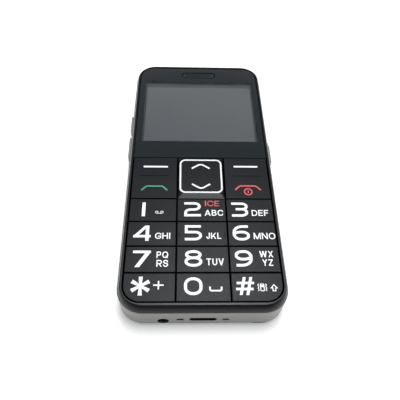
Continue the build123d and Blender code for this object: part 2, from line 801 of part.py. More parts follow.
# Dome sheet: the film that holds a snap dome under each stem
with BuildPart() as dome_sheet:
    with BuildSketch(Plane.XY.offset(board_top_z)):
        edged_rectangle(
            -board_half_width + loose_gap, board_half_width - loose_gap,
            board_bottom + loose_gap, function_top - plate_gap,
        )
        fillet(vertices(), face_corner_radius - loose_gap)
        with Locations(*low_screws):
            Circle(front_boss_radius + part_gap, mode=Mode.SUBTRACT)
        with Locations((microphone_x, board_bottom + microphone_radius)):
            Circle(microphone_radius + loose_gap, mode=Mode.SUBTRACT)
    extrude(amount=dome_sheet_thickness)
    with BuildSketch(Plane.XY.offset(board_top_z + dome_sheet_thickness)):
        with Locations(*stem_places):
            Circle(dome_radius)
    extrude(amount=dome_height)
    fillet(dome_sheet.edges().group_by(Axis.Z)[-1], dome_edge)
dome_sheet.part.label = "dome_sheet"
export_step(dome_sheet.part, "parts/dome_sheet.step")

# Volume key: a two-ended rocker in the left side, held by a flange inside the wall
with BuildPart() as volume_key:
    flange_face = side_inner - volume_flange_gap
    half_length = volume_length / 2
    pad_end = volume_saddle / 2 + volume_ramp
    with BuildSketch(Plane.XY.offset(side_key_z - side_key_height / 2)):
        with BuildLine():
            Polyline(
                (-flange_face, volume_y - half_length),
                (-side_face - volume_protrusion, volume_y - half_length),
                (-side_face - volume_protrusion, saddle_y - pad_end),
                (-side_face - volume_saddle_height, saddle_y - volume_saddle / 2),
                (-side_face - volume_saddle_height, saddle_y + volume_saddle / 2),
                (-side_face - volume_protrusion, saddle_y + pad_end),
                (-side_face - volume_protrusion, volume_y + half_length),
                (-flange_face, volume_y + half_length),
                close=True,
            )
        make_face()
        fillet(vertices().group_by(Axis.X)[0], soft_edge)
    extrude(amount=side_key_height)
    with BuildSketch(Plane.YZ.offset(-flange_face)):
        with Locations((volume_y, side_key_z)):
            Rectangle(
                volume_length + 2 * side_flange_reach,
                side_key_height + 2 * (side_flange_reach - part_gap),
            )
    extrude(amount=side_flange)
volume_key.part.label = "volume_key"
export_step(volume_key.part, "parts/volume_key.step")

# Volume switches: two small push switches behind the rocker's ends
with BuildPart() as volume_switches:
    switch_face = flange_face - side_flange - loose_gap
    with BuildSketch(Plane.XY.offset(side_key_z - switch_height / 2)):
        for reach in (-volume_switch_reach, volume_switch_reach):
            edged_rectangle(
                -switch_face + switch_button, -switch_face + switch_button + switch_depth,
                volume_y + reach - switch_length / 2, volume_y + reach + switch_length / 2,
            )
            edged_rectangle(
                -switch_face, -switch_face + switch_button,
                volume_y + reach - switch_length / 4, volume_y + reach + switch_length / 4,
            )
    extrude(amount=switch_height)
volume_switches.part.label = "volume_switches"
export_step(volume_switches.part, "parts/volume_switches.step")

# Slide switch knob: a ribbed cap outside the right wall, its stem and its flange inside
with BuildPart() as slide_switch_knob:
    cap_face = side_face + fit_gap
    rib_top = side_face + slider_protrusion
    rib_bottom = rib_top - slider_groove
    slider_end = slider_y + slider_length / 2
    slider_start = slider_y - slider_length / 2
    rib_pitch = (slider_length - slider_tail) / slider_ribs
    rib_points = []
    for rib in range(slider_ribs):
        rib_start = slider_start + rib * rib_pitch
        rib_points += [
            (rib_top, rib_start),
            (rib_top, rib_start + rib_pitch / 2),
            (rib_bottom, rib_start + rib_pitch / 2),
            (rib_bottom, rib_start + rib_pitch),
        ]
    with BuildSketch(Plane.XY.offset(side_key_z - side_key_height / 2)):
        with BuildLine():
            Polyline(
                (cap_face, slider_start), *rib_points,
                (cap_face + slider_tail_height, slider_end), (cap_face, slider_end), close=True,
            )
        make_face()
    extrude(amount=side_key_height)
    with BuildSketch(Plane.YZ.offset(side_inner - loose_gap)):
        with Locations((slider_y, side_key_z)):
            Rectangle(slider_stem_length, slider_stem_height)
    extrude(amount=rear_wall + loose_gap + fit_gap)
    with BuildSketch(Plane.YZ.offset(side_inner - loose_gap)):
        with Locations((slider_y, side_key_z)):
            Rectangle(slider_length, side_key_height)
    extrude(amount=-side_flange)
slide_switch_knob.part.label = "slide_switch_knob"
export_step(slide_switch_knob.part, "parts/slide_switch_knob.step")

# Slide switch body: the switch that the knob works, at the board's edge
slide_switch_face = side_inner - 2 * loose_gap - side_flange
with BuildPart() as slide_switch_body:
    with BuildSketch(Plane.XY.offset(side_key_z - switch_height / 2)):
        edged_rectangle(
            slide_switch_face - switch_depth, slide_switch_face,
            slider_y - slide_switch_length / 2, slider_y + slide_switch_length / 2,
        )
    extrude(amount=switch_height)
    fillet(slide_switch_body.edges().filter_by(Axis.Z), soft_edge)
slide_switch_body.part.label = "slide_switch_body"
export_step(slide_switch_body.part, "parts/slide_switch_body.step")

# Main board: notched at both sides for the side switches and drilled for the screws
with BuildPart() as main_board:
    with BuildSketch(Plane.XY.offset(board_z)):
        edged_rectangle(-board_half_width, board_half_width, board_bottom, board_top)
        fillet(vertices().group_by(Axis.Y)[0], face_corner_radius - loose_gap)
        volume_notch = -switch_face + switch_button + switch_depth + part_gap
        edged_rectangle(
            -body_width, volume_notch,
            volume_y - volume_switch_reach - switch_length / 2 - part_gap,
            volume_y + volume_switch_reach + switch_length / 2 + part_gap, mode=Mode.SUBTRACT,
        )
        edged_rectangle(
            slide_switch_face - switch_depth - part_gap, body_width,
            slider_y - slide_switch_length / 2 - part_gap,
            slider_y + slide_switch_length / 2 + part_gap, mode=Mode.SUBTRACT,
        )
        with Locations(*low_screws):
            Circle(screw_radius + part_gap, mode=Mode.SUBTRACT)
    extrude(amount=board_thickness)
main_board.part.label = "main_board"
export_step(main_board.part, "parts/main_board.step")

# Shield cans: two folded tin covers on the board under the display
with BuildPart() as shield_cans:
    with BuildSketch(Plane.XY.offset(board_top_z)):
        with Locations((0, screen_middle)):
            with GridLocations(shield_width + holder_gap, 0, 2, 1):
                Rectangle(shield_width, shield_length)
    extrude(amount=shield_height)
    with BuildSketch(Plane.XY.offset(board_top_z)):
        with Locations((0, screen_middle)):
            with GridLocations(shield_width + holder_gap, 0, 2, 1):
                Rectangle(shield_width - 2 * shield_wall, shield_length - 2 * shield_wall)
    extrude(amount=shield_height - shield_wall, mode=Mode.SUBTRACT)
shield_cans.part.label = "shield_cans"
export_step(shield_cans.part, "parts/shield_cans.step")

# USB connector: a folded shell with its tongue, under the board's end
usb_front = end_face + usb_recess
with BuildPart() as usb_connector:
    with BuildSketch(Plane.XZ.offset(-usb_front - usb_length)):
        with Locations((0, usb_z)):
            RectangleRounded(usb_width, usb_height, usb_corner)
    extrude(amount=usb_length)
    with BuildSketch(Plane.XZ.offset(-usb_front - usb_length + usb_shell)):
        with Locations((0, usb_z)):
            RectangleRounded(
                usb_width - 2 * usb_shell, usb_height - 2 * usb_shell, usb_corner - usb_shell / 2
            )
    extrude(amount=usb_length, mode=Mode.SUBTRACT)
    with BuildSketch(Plane.XZ.offset(-usb_front - usb_length)):
        with Locations((0, usb_z)):
            Rectangle(usb_tongue_width, usb_tongue_height)
    extrude(amount=usb_tongue_length)
usb_connector.part.label = "usb_connector"
export_step(usb_connector.part, "parts/usb_connector.step")

# Audio jack: a moulded block with a blind round bore
jack_front = end_face + tray_inset + tray_wall + fit_gap
with BuildPart() as audio_jack:
    with BuildSketch(Plane.XZ.offset(-jack_front - jack_length)):
        with Locations((jack_x, jack_z + jack_drop)):
            Rectangle(jack_width, jack_height)
    extrude(amount=jack_length)
    fillet(audio_jack.edges().filter_by(Axis.Y), soft_edge)
    with BuildSketch(Plane.XZ.offset(-jack_front - jack_bore_length)):
        with Locations((jack_x, jack_z)):
            Circle(jack_bore_radius)
    extrude(amount=jack_bore_length, mode=Mode.SUBTRACT)
audio_jack.part.label = "audio_jack"
export_step(audio_jack.part, "parts/audio_jack.step")

# Charging contacts: two sprung plates behind the slots, on legs from the board
contact_front = end_inner + fit_gap
with BuildPart() as charging_contacts:
    with BuildSketch(Plane.XZ.offset(-contact_front - contact_thickness)):
        with Locations((0, (contact_z - contact_slot_height / 2 + board_z) / 2)):
            with GridLocations(2 * contact_x, 0, 2, 1):
                Rectangle(contact_slot_width, board_z - contact_z + contact_slot_height / 2)
    extrude(amount=contact_thickness)
    with BuildSketch(Plane.XY.offset(board_z - contact_thickness)):
        with Locations((0, (contact_front + board_bottom + contact_leg) / 2)):
            with GridLocations(2 * contact_x, 0, 2, 1):
                Rectangle(contact_slot_width, board_bottom + contact_leg - contact_front)
    extrude(amount=contact_thickness)
charging_contacts.part.label = "charging_contacts"
export_step(charging_contacts.part, "parts/charging_contacts.step")

# Microphone: a round capsule on the board near the slot in the gap under the last keys
with BuildPart() as microphone:
    with BuildSketch(Plane.XY.offset(board_top_z)):
        with Locations((microphone_x, board_bottom + microphone_radius)):
            Circle(microphone_radius)
    extrude(amount=microphone_height)
    fillet(microphone.edges().group_by(Axis.Z)[-1], soft_edge)
microphone.part.label = "microphone"
export_step(microphone.part, "parts/microphone.step")

# Battery: a flat cell that drops into the bay from the back
with BuildPart() as battery:
    with BuildSketch(Plane.XY.offset(tray_z)):
        with Locations((0, (battery_bottom + battery_top) / 2)):
            RectangleRounded(battery_width, battery_length, battery_corner)
    extrude(amount=battery_thickness)
    fillet(battery.faces().filter_by(Axis.Z).edges(), soft_edge)
battery.part.label = "battery"
export_step(battery.part, "parts/battery.step")

# Battery contacts: a block under the board with three sprung blades
block_y = battery_top + loose_gap + contact_block_length / 2
with BuildPart() as battery_contacts:
    with BuildSketch(Plane.XY.offset(board_z - contact_block_height)):
        with Locations((0, block_y)):
            Rectangle(contact_block_width, contact_block_length)
    extrude(amount=contact_block_height)
    with BuildSketch(Plane.XY.offset(board_z - contact_block_height)):
        with Locations((0, battery_top + loose_gap - fit_gap)):
            with GridLocations(blade_pitch, 0, 3, 1):
                Rectangle(blade_width, 2 * fit_gap)
    extrude(amount=contact_block_height / 2)
battery_contacts.part.label = "battery_contacts"
export_step(battery_contacts.part, "parts/battery_contacts.step")

# SIM holder and memory card holder: open-ended tin brackets under the board
sim_x = -holder_span / 2 + sim_width / 2
card_x = holder_span / 2 - card_width / 2
for name, middle, holder_width, holder_height in (
    ("sim_holder", sim_x, sim_width, sim_height),
    ("memory_card_holder", card_x, card_width, card_height),
):
    with BuildPart() as holder:
        with BuildSketch(Plane.XY.offset(board_z - holder_height)):
            with Locations((middle, holder_y)):
                Rectangle(holder_width, sim_length)
        extrude(amount=holder_height)
        with BuildSketch(Plane.XY.offset(board_z - holder_height + sim_wall)):
            with Locations((middle, holder_y + sim_wall)):
                Rectangle(holder_width - 2 * sim_wall, sim_length)
        extrude(amount=holder_height - 2 * sim_wall, mode=Mode.SUBTRACT)
    holder.part.label = name
    export_step(holder.part, f"parts/{name}.step")

# Loudspeaker: a box that faces the slots in the back
with BuildPart() as loudspeaker:
    with BuildSketch(Plane.XY.offset(tray_floor_top_z + fit_gap)):
        with Locations((speaker_x, speaker_y)):
            RectangleRounded(speaker_width, speaker_length, speaker_corner)
    extrude(amount=board_z - tray_floor_top_z - 2 * fit_gap)
    fillet(loudspeaker.faces().sort_by(Axis.Z)[0].edges(), soft_edge)
loudspeaker.part.label = "loudspeaker"
export_step(loudspeaker.part, "parts/loudspeaker.step")

# Vibration motor: a coin motor under the board
with BuildPart() as vibration_motor:
    with BuildSketch(Plane.XY.offset(board_z - motor_height)):
        with Locations((motor_x, speaker_y)):
            Circle(motor_radius)
    extrude(amount=motor_height)
    fillet(vibration_motor.edges().group_by(Axis.Z)[0], soft_edge)
vibration_motor.part.label = "vibration_motor"
export_step(vibration_motor.part, "parts/vibration_motor.step")

# Antenna carrier: a moulded box across the top end, clamped by the top screws
with BuildPart() as antenna_carrier:
    with BuildSketch(Plane.XY.offset(tray_floor_top_z)):
        with Locations((0, carrier_middle)):
            Rectangle(2 * carrier_half_width, carrier_length)
        body_outline(tray_inset + tray_wall + loose_gap, Mode.INTERSECT)
        fillet(vertices(), soft_edge)
    extrude(amount=carrier_height)
    with BuildSketch(Plane.XY.offset(tray_floor_top_z)):
        with Locations((0, carrier_middle)):
            RectangleRounded(
                2 * (screw_x - boss_radius - part_gap - carrier_wall),
                carrier_length - 2 * carrier_wall, carrier_length / 4,
            )
    extrude(amount=carrier_height - carrier_wall, mode=Mode.SUBTRACT)
    with BuildSketch(Plane.XY.offset(tray_floor_top_z)):
        with Locations(*top_screws):
            Circle(boss_radius + part_gap)
    extrude(amount=top_boss_z - tray_floor_top_z, mode=Mode.SUBTRACT)
    with BuildSketch(Plane.XY.offset(tray_floor_top_z)):
        with Locations(*top_screws):
            Circle(screw_radius + part_gap)
    extrude(amount=carrier_height, mode=Mode.SUBTRACT)
antenna_carrier.part.label = "antenna_carrier"
export_step(antenna_carrier.part, "parts/antenna_carrier.step")

# Housing screws: six small screws from the back into the front housing's bosses
screw_end_z = screw_hole_top_z - screw_end_gap
with BuildPart() as housing_screws:
    with BuildSketch(Plane.XY.offset(head_top_z - screw_head_height)):
        with Locations(*low_screws, *top_screws):
            Circle(screw_head_radius)
    extrude(amount=screw_head_height)
    with BuildSketch(Plane.XY.offset(head_top_z)):
        with Locations(*low_screws, *top_screws):
            Circle(screw_radius)
    extrude(amount=screw_end_z - head_top_z)
    with BuildSketch(Plane.XY.offset(head_top_z - screw_head_height)):
        with Locations(*low_screws, *top_screws):
            RegularPolygon(drive_radius, 6)
    extrude(amount=drive_depth, mode=Mode.SUBTRACT)
housing_screws.part.label = "housing_screws"
export_step(housing_screws.part, "parts/housing_screws.step")
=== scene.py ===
import bmesh
import bpy
import numpy as np
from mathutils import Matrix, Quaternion, Vector
from mathutils.geometry import delaunay_2d_cdt


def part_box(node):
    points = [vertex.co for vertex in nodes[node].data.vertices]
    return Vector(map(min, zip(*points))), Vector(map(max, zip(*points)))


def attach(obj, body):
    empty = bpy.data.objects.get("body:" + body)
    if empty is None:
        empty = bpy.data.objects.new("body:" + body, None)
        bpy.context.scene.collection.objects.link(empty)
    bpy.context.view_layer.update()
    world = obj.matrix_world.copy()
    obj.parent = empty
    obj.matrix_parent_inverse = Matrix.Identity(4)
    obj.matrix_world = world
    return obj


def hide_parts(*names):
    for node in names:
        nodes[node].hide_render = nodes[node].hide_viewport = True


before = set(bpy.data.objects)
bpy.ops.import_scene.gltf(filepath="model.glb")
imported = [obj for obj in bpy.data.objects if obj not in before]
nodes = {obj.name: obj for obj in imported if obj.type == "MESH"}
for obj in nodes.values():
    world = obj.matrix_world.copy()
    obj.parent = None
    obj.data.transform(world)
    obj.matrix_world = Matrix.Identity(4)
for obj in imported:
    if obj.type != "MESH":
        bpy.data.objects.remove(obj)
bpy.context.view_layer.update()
mm = 0.001

# Camera: held above the phone's lower end, looking up along the face.
# A plain 39 mm lens on a 36 mm wide sensor, with no shift, turned slightly about its own axis.
camera_eye = Vector((-7.07, -122.11, 158.46)) * mm
camera_aim = Vector((-0.556, -19.625, 14.7)) * mm
camera_roll = np.radians(3.23)
camera = bpy.data.objects.new("camera", bpy.data.cameras.new("camera"))
bpy.context.scene.collection.objects.link(camera)
bpy.context.scene.camera = camera
camera.location = camera_eye
camera.rotation_mode = "QUATERNION"
camera_look = (camera_aim - camera_eye).to_track_quat("-Z", "Y")
camera.rotation_quaternion = camera_look @ Quaternion((0, 0, 1), camera_roll)
camera.data.sensor_width = 36
camera.data.lens = 39.42
camera.data.clip_start = 10 * mm


# Battery cover and rear housing: black ABS mouldings that clip together round the works.
# Satin silver lacquer is drawn on their outer skin alone, and the ports' walls and the insides
# are drawn black, which keeps the ports dark.
def linear(colour):
    """An sRGB hex colour as linear red, green and blue by the sRGB curve, with an alpha of 1."""
    channels = np.array([int(colour[start : start + 2], 16) / 255 for start in (1, 3, 5)])
    light = np.where(channels <= 0.04045, channels / 12.92, ((channels + 0.055) / 1.055) ** 2.4)
    return (*light, 1.0)


def add_node(tree, kind, inputs=None, links=None, **settings):
    """Adds a node with its settings, its plain inputs and the sockets that feed the others."""
    node = tree.nodes.new("ShaderNode" + kind)
    for key, value in settings.items():
        setattr(node, key, value)
    for key, value in (inputs or {}).items():
        node.inputs[key].default_value = value
    for key, socket in (links or {}).items():
        tree.links.new(socket, node.inputs[key])
    return node


def new_finish(name, roughness, metallic=0.0, ior=1.5, specular=0.5):
    """A new material with its tree, its shader and the piece's own coordinates."""
    material = bpy.data.materials.new(name)
    material.use_nodes = True
    tree = material.node_tree
    tree.nodes.clear()
    shader = add_node(tree, "BsdfPrincipled", {
        "Roughness": roughness, "Metallic": metallic, "IOR": ior, "Specular IOR Level": specular,
    })
    add_node(tree, "OutputMaterial", links={"Surface": shader.outputs["BSDF"]})
    return material, tree, shader, add_node(tree, "TexCoord").outputs["Object"]


def cloud(tree, place, size, low, high, detail=2.0):
    """Noise of that size in metres. The band that most of it lies in is spread over low to high."""
    noise = add_node(tree, "TexNoise", {"Scale": 1 / size, "Detail": detail}, {"Vector": place})
    band_low, band_high = 0.32, 0.68
    return add_node(
        tree, "MapRange",
        {"From Min": band_low, "From Max": band_high, "To Min": low, "To Max": high},
        {"Value": noise.outputs["Fac"]},
    ).outputs["Result"]


def two_tones(tree, amount, dark, light):
    """The colour between two tones, by an amount from 0 to 1."""
    mix = add_node(
        tree, "Mix", {"A": linear(dark), "B": linear(light)}, {"Factor": amount}, data_type="RGBA"
    )
    return mix.outputs["Result"]


def moulded(name, dark, light, rough, grain, depth, metallic=0.0, specular=0.5, painted_shade_below=None):
    """A moulded finish: two close tones in soft clouds, and a tool's grain in gloss and relief.

    The clouds are twelve grains wide, and the gloss swings by 12 percent each way over two grains.
    Below a given height, which is down in the gaps, the surface is painted black with no gloss: a
    painted shade for the gaps.
    """
    cloud_grains, gloss_grains, gloss_swing, relief_strength = 12, 2, 0.12, 0.6
    material, tree, shader, place = new_finish(name, rough, metallic, specular=specular)
    tones = two_tones(tree, cloud(tree, place, cloud_grains * grain, 0.0, 1.0), dark, light)
    if painted_shade_below is not None:
        # Painted shade: below the height the colour turns black and the specular level drops to
        # nothing.
        fade = 0.05 * mm
        height = add_node(tree, "SeparateXYZ", links={0: place}).outputs["Z"]
        above = add_node(
            tree, "MapRange", {"From Min": painted_shade_below, "From Max": painted_shade_below + fade},
            {"Value": height},
        ).outputs["Result"]
        tones = add_node(
            tree, "Mix", {"A": linear("#0A0C0F")}, {"Factor": above, "B": tones}, data_type="RGBA"
        ).outputs["Result"]
        glint = add_node(tree, "Math", {1: specular}, {0: above}, operation="MULTIPLY").outputs[0]
        tree.links.new(glint, shader.inputs["Specular IOR Level"])
    tree.links.new(tones, shader.inputs["Base Color"])
    gloss = cloud(
        tree, place, gloss_grains * grain, (1 - gloss_swing) * rough, (1 + gloss_swing) * rough
    )
    tree.links.new(gloss, shader.inputs["Roughness"])
    relief = add_node(
        tree, "Bump", {"Strength": relief_strength, "Distance": depth},
        {"Height": cloud(tree, place, grain, 0.0, 1.0)},
    )
    tree.links.new(relief.outputs["Normal"], shader.inputs["Normal"])
    return material


def dress(material, *names):
    """Gives CAD nodes a material in each of their slots."""
    for name in names:
        for slot in nodes[name].material_slots:
            slot.material = material


# Metal flake of about 0.05 mm in the lacquer is drawn at 0.3 mm, so that its sparkle shows.
silver_dark = "#81817E"
silver_light = "#8F8E8C"
silver_rough = 0.42
silver_rough_swing = 0.04
silver_metal = 0.7
flake_size = 0.3 * mm
flake_depth = 0.004 * mm


def silver_lacquer(name, painted):
    """Silver where painted(tree, place) is 1, and black where it is 0."""
    material, tree, shader, place = new_finish(name, silver_rough)
    cover = painted(tree, place)
    flake = cloud(tree, place, flake_size, 0.0, 1.0, detail=1.0)
    silver = two_tones(tree, flake, silver_dark, silver_light)
    colour = add_node(
        tree, "Mix", {"A": linear("#141516")}, {"Factor": cover, "B": silver}, data_type="RGBA"
    )
    tree.links.new(colour.outputs["Result"], shader.inputs["Base Color"])
    metal = add_node(tree, "Math", {1: silver_metal}, {0: cover}, operation="MULTIPLY")
    tree.links.new(metal.outputs[0], shader.inputs["Metallic"])
    smooth, coarse = silver_rough - silver_rough_swing, silver_rough + silver_rough_swing
    tree.links.new(cloud(tree, place, 2 * flake_size, smooth, coarse), shader.inputs["Roughness"])
    relief = add_node(tree, "Bump", {"Strength": 0.5, "Distance": flake_depth}, {"Height": flake})
    tree.links.new(relief.outputs["Normal"], shader.inputs["Normal"])
    return material


body_corner = 9.65 * mm
body_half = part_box("rear_housing")[1]
cover_floor = 1.05 * mm
housing_spray = 0.15 * mm
cover_spray = 0.9 * mm


def outside_band(tree, place, depth):
    """1 within a depth of the phone's rounded outline and 0 further in.

    The distance to a rounded rectangle is the length of what the place reaches past the
    rectangle of the corners' centres, less the corner radius.
    """
    flat = add_node(
        tree, "VectorMath", {1: (1, 1, 0)}, {0: place}, operation="MULTIPLY"
    ).outputs[0]
    folded = add_node(tree, "VectorMath", links={0: flat}, operation="ABSOLUTE").outputs[0]
    centres = (body_half.x - body_corner, body_half.y - body_corner, 0)
    past = add_node(
        tree, "VectorMath", {1: centres}, {0: folded}, operation="SUBTRACT"
    ).outputs[0]
    outer = add_node(tree, "VectorMath", {1: (0, 0, 0)}, {0: past}, operation="MAXIMUM").outputs[0]
    reach = add_node(tree, "VectorMath", links={0: outer}, operation="LENGTH").outputs["Value"]
    return add_node(
        tree, "Math", {1: body_corner - depth}, {0: reach}, operation="GREATER_THAN"
    ).outputs[0]


def housing_paint(tree, place):
    """The spray covers the band's outer skin."""
    return outside_band(tree, place, housing_spray)


def cover_paint(tree, place):
    """The spray covers the cover's outer skin and its flat back."""
    height = add_node(tree, "SeparateXYZ", links={0: place}).outputs["Z"]
    back = add_node(tree, "Math", {1: cover_floor}, {0: height}, operation="LESS_THAN").outputs[0]
    rim = outside_band(tree, place, cover_spray)
    return add_node(tree, "Math", links={0: rim, 1: back}, operation="MAXIMUM").outputs[0]


dress(silver_lacquer("silver_lacquered_housing", housing_paint), "rear_housing")
dress(silver_lacquer("silver_lacquered_cover", cover_paint), "battery_cover")

# Front housing: a black polycarbonate and ABS frame in one moulding, with a fine satin texture
# from the tool, which gives the bezel a soft dark sheen and a bright line along its rim.
# Below 11.2 mm, down in the gaps round the keys, the frame is painted black without gloss, as
# painted shade.
dress(
    moulded("satin_black_polycarbonate", "#0A0D10", "#0E1114", 0.32, 0.25 * mm, 0.003 * mm,
            specular=0.26, painted_shade_below=11.2 * mm),
    "front_housing",
)

# Antenna carrier, switch bodies, contact block and jack: moulded in black ABS and nylon, left
# unpainted, and clipped or soldered to the board. They are duller than the outside.
dress(
    moulded("matt_black_nylon", "#131314", "#1B1B1C", 0.55, 0.3 * mm, 0.006 * mm),
    "antenna_carrier", "audio_jack", "slide_switch_body", "volume_switches", "battery_contacts",
)


# Stamped metal pieces: shells, brackets, contacts and screws, pressed or turned from rolled
# stock and plated. Rolling leaves fine lines along the phone, which stretch the reflections
# across them. The charging contacts' gold is drawn dark and brown, as painted shade for their
# slots.
def rolled_metal(name, dark, light, rough):
    """Metal in two tones with rolling lines, 0.2 mm apart and ten times as long, in its gloss."""
    line_gap, line_stretch, gloss_swing = 0.2 * mm, 10, 0.2
    material, tree, shader, place = new_finish(name, rough, metallic=1.0)
    along = add_node(
        tree, "Mapping", {"Scale": (1, 1 / line_stretch, 1)}, {"Vector": place}
    ).outputs["Vector"]
    lines = cloud(tree, along, line_gap, 0.0, 1.0)
    tree.links.new(two_tones(tree, lines, dark, light), shader.inputs["Base Color"])
    gloss = cloud(
        tree, along, 2 * line_gap, (1 - gloss_swing) * rough, (1 + gloss_swing) * rough
    )
    tree.links.new(gloss, shader.inputs["Roughness"])
    return material


dress(
    rolled_metal("nickel_plated_steel", "#A9A49A", "#C2BDB2", 0.3),
    "usb_connector", "sim_holder", "memory_card_holder", "microphone", "vibration_motor",
)
dress(rolled_metal("tinned_steel", "#A8ABAD", "#C6C9CB", 0.38), "shield_cans")
dress(rolled_metal("stainless_steel", "#9B9DA0", "#B4B6B9", 0.32), "display_frame")
dress(rolled_metal("gold_plated_bronze", "#6E5732", "#836A40", 0.4), "charging_contacts")
dress(rolled_metal("black_zinc_steel", "#2A2B2E", "#3A3B3E", 0.4), "housing_screws")


# Main board: woven glass and epoxy under a green solder mask, with etched copper tracks that
# stand out paler through it. The screws clamp it between the two housings.
def solder_mask():
    """Green mask, lighter where a cell pattern's square-cornered distance is past a share."""
    cell, track_share, copper = 2.4 * mm, 0.55, 0.02 * mm
    material, tree, shader, place = new_finish("green_solder_mask", 0.4)
    tracks = add_node(
        tree, "TexVoronoi", {"Scale": 1 / cell}, {"Vector": place}, distance="CHEBYCHEV"
    )
    edge = add_node(
        tree, "Math", {1: track_share}, {0: tracks.outputs["Distance"]}, operation="GREATER_THAN"
    ).outputs[0]
    tree.links.new(two_tones(tree, edge, "#12402A", "#1C5A3B"), shader.inputs["Base Color"])
    relief = add_node(tree, "Bump", {"Strength": 0.5, "Distance": copper}, {"Height": edge})
    tree.links.new(relief.outputs["Normal"], shader.inputs["Normal"])
    return material


dress(solder_mask(), "main_board")

# Keypad mat and dome sheet: a moulded sheet of milky grey silicone rubber under the keys, with a
# dull skin, over a glossy polyester film that holds a steel dome for each key.
dress(
    moulded("grey_silicone_rubber", "#6F7274", "#7B7E80", 0.6, 0.4 * mm, 0.008 * mm), "keypad_mat"
)
dress(moulded("polyester_film", "#B9BDBF", "#C6CACC", 0.3, 0.5 * mm, 0.002 * mm), "dome_sheet")

# Battery: a flat lithium cell in an aluminium can, wrapped in a smooth dark grey polyester
# sleeve without words. It lies in the rear housing, under the cover.
dress(moulded("dark_grey_sleeve", "#33363A", "#3C3F43", 0.35, 0.5 * mm, 0.003 * mm), "battery")

# Loudspeaker and earpiece receiver: black moulded frames round a magnet and a film cone,
# pressed into their nests, with a low, even gloss.
dress(
    moulded("speaker_frame_black", "#1A1A1C", "#242426", 0.45, 0.3 * mm, 0.005 * mm),
    "loudspeaker", "earpiece_receiver",
)


# Display: a polarising film seen through the window, on a glass panel on its white backlight.
# With no picture on it, the film is grey with a fine anti-glare haze, under a painted shade that
# darkens it towards its lower left end.
def antiglare_film():
    """Grey with painted shade and light: darker at the film's lower left end and paler towards the
    upper right.

    The tone goes by the sum of the place along the film and a share of the place across it.
    """
    across_share, shaded_end, lit_end = 0.35, 5 * mm, 45 * mm
    haze, haze_depth, smooth, coarse = 0.3 * mm, 0.002 * mm, 0.4, 0.5
    material, tree, shader, place = new_finish("antiglare_polariser", 0.45)
    slant = add_node(
        tree, "VectorMath", {1: (across_share, 1, 0)}, {0: place}, operation="DOT_PRODUCT"
    ).outputs["Value"]
    amount = add_node(
        tree, "MapRange", {"From Min": shaded_end, "From Max": lit_end}, {"Value": slant}
    ).outputs["Result"]
    tree.links.new(two_tones(tree, amount, "#474B51", "#5B5E61"), shader.inputs["Base Color"])
    tree.links.new(cloud(tree, place, 2 * haze, smooth, coarse), shader.inputs["Roughness"])
    relief = add_node(
        tree, "Bump", {"Strength": 0.6, "Distance": haze_depth},
        {"Height": cloud(tree, place, haze, 0.0, 1.0)},
    )
    tree.links.new(relief.outputs["Normal"], shader.inputs["Normal"])
    return material


dress(antiglare_film(), "display_polariser")
dress(moulded("panel_glass", "#474B4E", "#4B4F52", 0.15, 0.8 * mm, 0.0005 * mm), "display_panel")
dress(
    moulded("white_backlight_frame", "#C9CBCC", "#D3D5D6", 0.5, 0.4 * mm, 0.004 * mm),
    "display_backlight",
)

# Window mask: a film with screen printed black ink, bonded behind the window. It stops at the
# display and at the earpiece, and looks a deep bluish black through the acrylic.
dress(
    moulded("black_mask_ink", "#12191D", "#151C20", 0.6, 0.3 * mm, 0.001 * mm, specular=0.2),
    "window_mask",
)


# Display window: a flat plate of clear acrylic, 1.2 mm thick, with polished edges. Black ink on
# its back leaves the display's opening clear, and a slot takes the earpiece's mesh.
def rounded_path(corners, cuts, closed=True, steps=10):
    """A path through corners, each rounded by an ellipse's quarter.

    A corner's two cuts are how far before and after it the curve leaves the sides. At an angle
    t from 0 to a right angle, the curve is the corner, less the first cut times 1 - sin t along
    the side before, plus the second cut times 1 - cos t along the side after. A point on top of
    the one before it is left out.
    """
    corners = np.asarray(corners, float)
    cuts = np.broadcast_to(np.asarray(cuts, float), (len(corners), 2)).copy()
    ahead = np.roll(corners, -1, axis=0) - corners
    after = ahead / np.linalg.norm(ahead, axis=1, keepdims=True)
    before = np.roll(after, 1, axis=0)
    if not closed:
        cuts[[0, -1]] = 0
    turn = np.linspace(0, np.pi / 2, steps)[None, :, None]
    points = (
        corners[:, None]
        - before[:, None] * cuts[:, None, :1] * (1 - np.sin(turn))
        + after[:, None] * cuts[:, None, 1:] * (1 - np.cos(turn))
    ).reshape(-1, 2)
    doubled = 1e-6
    apart = np.linalg.norm(points - np.roll(points, 1, axis=0), axis=1) > doubled
    apart[0] |= not closed
    return points[apart]


def box_path(left, right, bottom, top, cut, steps=10):
    """A rectangle's rounded outline, anticlockwise, with the same cut at each corner."""
    return rounded_path(
        [(left, bottom), (right, bottom), (right, top), (left, top)], cut, steps=steps
    )


def left_of(along, way):
    """Above zero where a way leads to the left of a direction: their cross product."""
    return along[..., 0] * way[..., 1] - along[..., 1] * way[..., 0]


